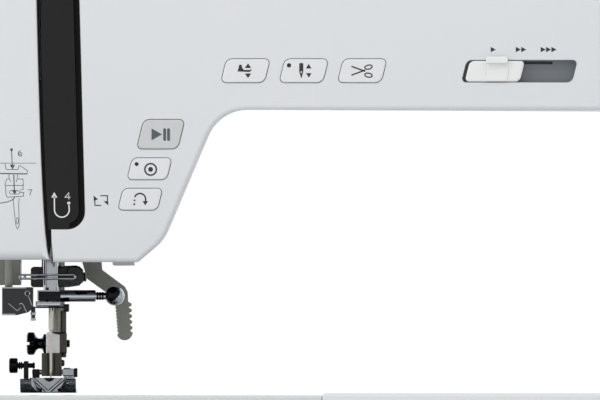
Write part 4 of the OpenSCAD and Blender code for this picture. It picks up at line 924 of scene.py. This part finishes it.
grooves = [turned([(-10.2, 0.55), (-7, 0.55)], "x",
                  (0, 16 + knurl_r * cos(k * pi / 9), 20.5 + knurl_r * sin(k * pi / 9)), 8)
           for k in range(18)]
carve(foot_screw, [together(grooves), brick((xn - 11, py - 5, hz - 0.5), (xn - 8.8, py + 5, hz + 0.5))])
dress(foot_screw, oxide_steel, "foot_screw", ["holder_screw"])
screw_end = turned([(5.9, 1.5), (6.8, 1.5), (7.1, 1.2)], "x", on_foot_screw, 20)
built("foot_screw_end", [screw_end], oxide_steel, "foot_screw")

# ------------
# Zigzag presser foot and its levelling button: a polished, chromed casting with two toes that turn
# up in front of a V-shaped opening. A steel pin holds it, and a black button locks it level.

foot_low, foot_high = corners("presser_foot")
fz = foot_low[2]
foot_z = fz - zb
side = [(yn + 17, fz), (yn + 17, fz + 1.6), (yn - 6, fz + 1.6)] + arc(yn - 8.2, fz + 6.2, 4.6, 270, 215, 8)
side += [(yn - 13.5, fz + 5.6)] + arc(yn - 8.4, fz + 6.6, 6.6, 195, 270, 10)
side = [(y, min(z, fz + 6.1)) for y, z in side]
sole = to_object("presser_foot_sole", solid([[(x, y, z) for y, z in side] for x in (foot_low[0], foot_high[0])]))
wedge = [(xn - 7.4, yn - 18), (xn + 6.2, yn - 18), (xn + 6.2, yn - 14), (xn + 0.55, yn - 5), (xn + 0.55, yn - 1),
         (xn - 0.55, yn - 1), (xn - 0.55, yn - 5), (xn - 7.4, yn - 14)]
carve(sole, [
    solid([[(x, y, z) for x, y in wedge] for z in (fz - 1, fz + 12)]),
    block((-3.6, -2.2, foot_z - 1), (3.6, 2.2, foot_z + 4), 0.8, 3, lambda p: abs(p.z - fz - 1.5) < 1.5),
])
toes = soften(in_millimetres(sole.data), 0.3, 50, 2)
bpy.data.objects.remove(sole)
left_cheek = block((-7.6, 11, foot_z + 1.4), (-4.8, 17, 10.4), 0.4, 3)
right_cheek = block((4.7, 11, foot_z + 1.4), (7.6, 17, 10.9), 0.4, 3)
rear_plate = block((4.4, 7, 7.6), (8.9, 12, 10.6), 0.4, 3)
plate_leg = block((7.7, 8, foot_z + 1.4), (9.3, 12, 9), 0.4, 3)
pin = turned([(-7.8, 0.8), (-7.6, 1), (7.6, 1), (7.8, 0.8)], "x", on_pin, 20)
level_post = block((-11, 9, foot_z + 1.5), (-9.2, 10.6, 13.6), 0.4)
level_back = block((-11, 13.8, foot_z + 1.5), (-9.2, 17, 13.6), 0.4)
trough = block((-8.2, -8.6, foot_z + 0.2), (7, -7, foot_z + 5.9), 0.25)
ribs = [plate(moved(patch, 0, foot_z), -9.3, -8.3) for patch in
        lines((0.7, (-7.6, 5.5), (-1.4, 0.5)), (0.7, (6, 5.5), (-0.2, 0.5)))]
# Chrome over a polished casting: the bars' mirror, a little duller and wavier.
chrome_foot = worked_metal("polished_chrome_casting", "#c3c7cd", "#9da2a9", 0.13, 1.2, (3, 1, 1), 0.006)
built("presser_foot_casting", [toes, right_cheek, rear_plate, plate_leg, pin, trough] + ribs,
      chrome_foot, "foot", ["presser_foot"])
# The dark piece in the thread notch and the dark lines beside the ribs, in black oxide, are painted shade in the
# notch and in the creases.
slot_of_foot = moved([(-2.6, 5.95), (-1.7, 4.8), (-0.4, 4.3), (0.9, 4.8), (1.8, 5.95)], 0, foot_z)
painted_notch_shade = soften(plate(slot_of_foot, -9, -6.6), 0.1)
painted_crease_shade = [plate(moved(patch, 0, foot_z), -9.5, -8.4) for patch in
           lines((0.45, (-8, 5.9), (-1.9, 0.5)), (0.45, (6.4, 5.9), (0.3, 0.5)),
                 (0.3, (-6.4, 5.9), (-0.9, 1)), (0.3, (4.8, 5.9), (-0.7, 1)))]
plate_end = block((8.9, 7.4, 7.2), (10.3, 11.6, 10.8), 0.3)
built("foot_dark_parts_and_painted_shade", [painted_notch_shade, plate_end, left_cheek, level_post, level_back] + painted_crease_shade, oxide_steel,
      "foot")
level_at = (0, 12.2, 11.8)
button_profile = [(-16.8, 2.5), (-16.5, 2.9), (-16, 3), (-14.1, 3),
                  (-13.6, 2.9), (-13.4, 2.5), (-13.3, 1), (-6.6, 0.95)]
button = turned(button_profile, "x", level_at, 32)
collars = [collar_at(x, 0.7, low, high, "x", level_at, 24)
           for x, low, high in ((-13.1, 1, 1.5), (-12.3, 1, 1.5), (-7.5, 0.95, 1.3))]
built("level_button_turned", [button] + collars, gloss_abs, "level_button", ["foot_level_button"])

# ------------
# Presser lever: a die-cast zinc arm with a baked olive-grey paint. Its handle is serrated on both
# edges for the finger, with deep teeth outside and fine ones inside.

# Baked olive-grey paint over a casting: matt with a faint orange peel.
olive_paint = moulded_plastic("baked_olive_paint", "#a3a49b", "#989990", 0.42, 0.8, 0.015)
lever_front, lever_back = [corner[1] for corner in corners("presser_lever")]
teeth_right = []
for k in range(6):
    z = 37.2 - k * 2.3
    teeth_right += [(30 + k * 0.16, z), (31.45 + k * 0.08, z - 0.9), (31.3 + k * 0.08, z - 1.7)]
teeth_left = []
for k in range(8):
    z = 24.9 + k * 1.3
    teeth_left += [(26.2 - 0.11 * k, z), (25.65 - 0.11 * k, z + 0.55), (25.7 - 0.11 * k, z + 0.85)]
lever_shape = (
    [(11.9, 52.6), (11, 58), (11.4, 61.5)] + arc(15.5, 60, 5, 150, 30, 8)
    + [(19.8, 57), (19.5, 52.6), (19.8, 49.7), (28.7, 43.1), (29.8, 41.1), (30, 38.6)]
    + teeth_right
    + arc(28.6, 24.9, 3.1, -28, -160, 8)
    + teeth_left
    + [(25.2, 36), (21.5, 40.6), (13.7, 46.2)]
)
lever_shape = moved(lever_shape, xn, zb)[::-1]
lever_casting = moulding(lever_shape, 0.1, lever_front, lever_back, 2)
lever_piece = to_object("presser_lever_casting", lever_casting)
lever_bore = turned([(lever_front - yn - 1, 2.05), (lever_back - yn + 1, 2.05)], "y", (15.5, 0, 60), 24)
carve(lever_piece, [lever_bore])
dress(lever_piece, olive_paint, "lever", ["presser_lever"], 25)

# ------------
# Needle threader: a black acetal box and peg on an olive-grey rod that slides in the frame,
# pressed down by an ABS lever which comes out through a slot in the head's side.

# Moulded acetal: near black, dull, a little greyer where light grazes it.
black_acetal = moulded_plastic("moulded_black_acetal", "#313233", "#2b2c2d", 0.42, 0.6, 0.008)
rod_top = corners("needle_threader")[1][2] - zb
box_shape = [(-18.9, 31.6), (-13.2, 31.6), (-8.6, 32.8), (-6.8, 34.6), (-6.8, 42.6), (-18.9, 42.6)]
threader_box = soften(plate(box_shape, -13.6, -4.2), 0.35, 30, 3)
built("threader_box", [threader_box], black_acetal, "threader", ["needle_threader"])
# Thin chrome strips along the box's top and bottom front edges are painted highlights.
edges = [plate(patch, -13.9, -12) for patch in
         lines((0.5, (-18.6, 42.35), (-9.4, 42.35)), (0.45, (-18.6, 31.9), (-13.6, 31.9)))]
ring = wire([(x, yn - 14, z) for x, z in arc(xn - 8.9, zb + 40.2, 0.95, 0, 337.5, 15)], 0.22, 8)
hooks = [plate(patch, -13.85, -13.4) for patch in
         lines((0.28, (-12.2, 35.9), (-11.2, 36.3), (-10.4, 35.4), (-9.8, 33.8), (-9.2, 32.9)),
               (0.22, (-16.4, 36.2), (-12.9, 33.3), (-11.4, 34.6)), (0.25, (-8.6, 39.3), (-7.1, 35.4)))]
on_peg = (-6.7, -11, 0)
peg_bands = [collar_at(z, 1.1, 0.7, 1.1, "z", on_peg, 20) for z in (29.4, 31.6)]
built("threader_hooks_and_painted_edge_highlights", edges + [ring] + hooks + peg_bands, chrome, "threader")
threader_peg = turned([(29.6, 0.8), (35, 0.9)], "z", on_peg, 20)
built("threader_peg", [threader_peg], black_acetal, "threader")
# Olive-grey moulded acetal: satin, a little green. The rod and the buttonhole lever share it.
olive_acetal = moulded_plastic("moulded_olive_acetal", "#b4b5ad", "#a9aaa2", 0.4, 0.7, 0.01)
threader_rod = turned([(42.3, 1.5), (rod_top - 0.5, 1.5), (rod_top, 1.1)], "z", (-16.4, -9, 0), 28)
built("threader_rod", [threader_rod], olive_acetal, "threader")


def worked(name, node, material, body, roll, segments=2, chosen=None):
    """A CAD solid with its edges rolled over, in its own finish, in place of the plain one."""
    return built(name, [soften(from_cad(node), roll, 40, segments, chosen)], material, body, [node])


worked("threader_thumb_lever", "threader_lever", key_abs, "threader", 0.8, 3)

# ------------
# Buttonhole lever: an olive-grey acetal housing left of the needle, on a flat stem that is pulled
# down in the cast frame. Its front has a shallow upright groove.

hole_lever = to_object("buttonhole_housing", soften(from_cad("buttonhole_lever"), 0.5, 40, 3))
carve(hole_lever, [brick((xn - 24, yn - 3, zb + 46), (xn - 21, yn - 1.4, zb + 64))])
dress(hole_lever, olive_acetal, "buttonhole", ["buttonhole_lever"])
side_strip = block((-12.1, -2.4, 44.6), (-11.5, -0.5, 64), 0.15)
built("buttonhole_side_strip", [side_strip], chrome, "buttonhole")

# ------------
# Take-up lever: stamped from 1 mm steel, its eye polished for the thread, then chromed.

worked("take_up_stamping", "take_up_lever", chrome, "take_up", 0.22, 2)

# ------------
# Needle plate, feed dog and plate screws. The plate is stainless steel brushed from side to side;
# the feed dog is hardened and ground; the screws have a plain slot.

# Brushed stainless steel: long fine lines from side to side.
brushed_steel = worked_metal("brushed_stainless_steel", "#bdbcb9", "#a8a7a4", 0.27, 0.4, (40, 1, 1), 0.002)
# Hardened steel: straw grey and satin, with fine marks all ways.
hard_steel = worked_metal("hardened_steel", "#8f8b84", "#7b7872", 0.32, 0.5, (1, 1, 1), 0.004)


def edges_at(height):
    """Picks the edges that lie at one height, such as a rim."""
    return lambda p: abs(p.z - height) < 0.05


worked("needle_plate_steel", "needle_plate", brushed_steel, "machine", 0.25, 2, edges_at(zb))


def sunk(bm):
    """Draws the parts that stand just above the bed down until they are nearly level with it."""
    for v in bm.verts:
        if zb < v.co.z < zb + 1.5:
            v.co.z = zb + (v.co.z - zb) * 0.1
    return bm


teeth = sunk(soften(from_cad("feed_dog"), 0.12, 40, 1))
built("feed_dog_teeth", [teeth], hard_steel, "feed", ["feed_dog"])
screws = sunk(soften(from_cad("housing_screws"), 0.15, 50, 1))
built("screw_heads", [screws], satin_nickel, "machine", ["housing_screws"])

# ------------
# Bobbin cover, bobbin, bobbin case and rotary hook. Cover and bobbin are clear moulded plastic,
# the case is black filled nylon, and the hook is turned steel, polished where the thread runs.

# Clear polycarbonate: a faint blue cast, sharp reflections and see-through.
see_through = {"Transmission Weight": 0.92}
clear_pc = moulded_plastic("clear_polycarbonate", "#dbe6ea", "#d6e2e7", 0.06, 3, 0.002, see_through)
worked("bobbin_cover_clear", "bobbin_cover", clear_pc, "machine", 0.25, 2, edges_at(zb))
worked("bobbin_clear", "bobbin", clear_pc, "bobbin_body", 0.2, 2)
# Glass-filled nylon: black, dull, with a sandy grain.
black_nylon = moulded_plastic("glass_filled_black_nylon", "#202123", "#292a2c", 0.5, 0.4, 0.015)
worked("bobbin_case_nylon", "bobbin_case", black_nylon, "machine", 0.2, 2)
worked("rotary_hook_steel", "rotary_hook", hard_steel, "hook", 0.2, 2)

# ------------
# Base: a white ABS shell that the column stands on, closed below by a grey pan with the socket for
# a knee lifter, and six rubber feet pressed into the pan and the table.

worked("base_shell", "base_cover", white_abs, "machine", 1.2, 3,
       lambda p: abs(p.z - zc) < 0.05 and not (col_l + 5 < p.x < col_r - 5 and abs(p.y) < 100))
# Impact polystyrene: mid grey, coarse dull grain.
grey_styrene = moulded_plastic("moulded_grey_polystyrene", "#6a6d70", "#63666a", 0.55, 1, 0.02)
pan_floor = corners("base_pan")[0][2]
worked("base_pan_moulding", "base_pan", grey_styrene, "machine", 0.6, 2, edges_at(pan_floor))
# Moulded rubber: soft black, quite matt, slightly dusty.
black_rubber = moulded_plastic("moulded_black_rubber", "#1c1c1d", "#262627", 0.75, 0.8, 0.03)
worked("rubber_feet_moulded", "rubber_feet", black_rubber, "machine", 0.4, 2)

# ------------
# Free arm, extension table and its accessory door: white ABS with a finer grain than the covers,
# so that cloth slides. The table draws off to the left; the door tips out on two small pins.

# Satin ABS of the bed: the covers' colour with a smoother, glossier face.
bed_abs = moulded_plastic("satin_white_abs", "#d3d6d8", "#cfd2d5", 0.3, 0.5, 0.006)
worked("free_arm_shell", "free_arm_cover", bed_abs, "machine", 0.8, 3,
       lambda p: abs(p.z - zb) < 0.05 and not (xn - 40 < p.x < xn + 44 and abs(p.y - yn) < 42.5))
worked("table_shell", "extension_table", bed_abs, "table", 0.9, 3, edges_at(zb))
worked("door_panel", "accessory_door", bed_abs, "door", 0.3, 2)

# ------------
# Lid and carrying handle: the lid is one ABS shell hinged at the back, with its ends rolled over;
# the handle is a round ABS bar between two flat arms, pinned to the rear cover's lugs.

worked("lid_shell", "top_cover", white_abs, "lid", 2.4, 4,
       lambda p: (abs(p.x - head_l) < 0.05 or abs(p.x - col_r) < 0.05) and p.z > z_rim + 3)
worked("handle_bar", "carry_handle", white_abs, "handle", 1, 3)

# ------------
# Under the lid: a light grey ABS tray with the spool pin, its cap, and the bobbin winder.

worked("thread_tray", "top_tray", start_abs, "machine", 0.4, 2)
worked("spool_pin_and_cap", "spool_pin", bright_abs, "machine", 0.5, 3)
worked("winder_spindle", "bobbin_winder", bright_abs, "winder", 0.5, 3)

# ------------
# Screen: a dark acrylic window in the column, with the grey-green field of a liquid crystal behind
# it. The field shows plain stitch lines.

# Smoked acrylic: black with a mirror gloss.
smoked_acrylic = moulded_plastic("smoked_acrylic", "#0b0d10", "#0e1013", 0.08, 4, 0.001, {"Coat Weight": 0.5})
worked("screen_window", "lcd_window", smoked_acrylic, "machine", 0.3, 3)
# Liquid crystal: an even grey-green with no gloss of its own.
lcd_field = ink("liquid_crystal_field", "#9fae9b", "#95a592")
printed("screen_field", [rounded(104, 62, 1.5, 4)], screen_mid, screen_low[1], lcd_field, "machine")
stitches = line([(-46, 20)] + [(-46 + 2.2 * k, 17 + 6 * (k % 2)) for k in range(40)], 0.6)
stitches += line([(-46, 6), (40, 6)], 0.6)
stitches += line([(-46 + 4.3 * k, -6 + 4 * ((k // 2) % 2)) for k in range(21)], 0.6)
printed("screen_lines", stitches, screen_mid, screen_low[1] - ink_rise, slate_ink, "machine")

# ------------
# Handwheel: a grey-white ABS wheel with a fluted rim, pressed on the end of the arm shaft.

worked("handwheel_rim", "handwheel", key_abs, "drive", 0.5, 2)

# ------------
# Drive: the arm shaft with its crank, the lower shaft, pulleys, link, belts and motor. Shafts are
# ground steel, the link and pulleys are hardened, the belts are ribbed rubber.

# Shafts lie along the machine, so the grinder's streaks run along it.
shaft_steel = worked_metal("ground_shaft_steel", "#a19e99", "#8b8883", 0.22, 0.5, (14, 1, 1))
# Painted motor can: dark grey and satin.
motor_paint = moulded_plastic("baked_grey_paint", "#4b4e52", "#45484c", 0.4, 0.8, 0.01)
# Belt rubber with a woven back: matt black, a faint rib across it every 3 mm.
belt_rubber = worked_metal("woven_belt_rubber", "#191919", "#232323", 0.7, 3, (1, 12, 12), 0.05, 0)


def finish(material, *nodes):
    """A CAD part whose shape is right keeps its mesh and gets its real finish."""
    for node in nodes:
        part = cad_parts[node]
        for place in part.material_slots:
            place.material = material


finish(shaft_steel, "arm_shaft", "lower_shaft")
finish(hard_steel, "motor_pulley", "connecting_link")
finish(belt_rubber, "drive_belts")
finish(motor_paint, "motor")

# ------------
# Frame, boards, thread tension and presser spring, all behind the covers. The frame is a raw
# aluminium casting; the boards are fibreglass under green lacquer.

# Die-cast aluminium: pale, dull, clouded by the melt's skin.
cast_aluminium = worked_metal("die_cast_aluminium", "#a9acad", "#8f9294", 0.5, 4, (1, 1, 1), 0.03)
# Solder mask: deep green lacquer over a weave of about 0.5 mm, glossy.
solder_mask = moulded_plastic("green_solder_mask", "#123a20", "#174527", 0.25, 0.5, 0.01, clear_coat)
# Spring wire: oiled black, with streaks round the coil.
spring_wire = worked_metal("oiled_spring_wire", "#5c5a57", "#3f3e3c", 0.3, 0.6, (3, 3, 1))
finish(cast_aluminium, "main_frame")
finish(solder_mask, "circuit_boards")
finish(brushed_steel, "tension_unit")
coil = to_object("presser_spring_coil", from_cad("presser_spring"))
dress(coil, spring_wire, "presser", ["presser_spring"])
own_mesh(coil)

# ------------
# Connector panel and power switch: black ABS set into the base's right side, with the mains inlet,
# a round socket for the foot control and a rocker that tips on its own pin.

# Black ABS: a fine even grain, satin.
panel_abs = moulded_plastic("moulded_black_abs", "#1b1c1e", "#222325", 0.36, 0.6, 0.01)
worked("socket_panel", "connector_panel", panel_abs, "machine", 0.4, 2)
worked("power_rocker", "power_switch", panel_abs, "power", 0.5, 3)

# ------------
# Last, the view layer is brought up to date.

bpy.context.view_layer.update()
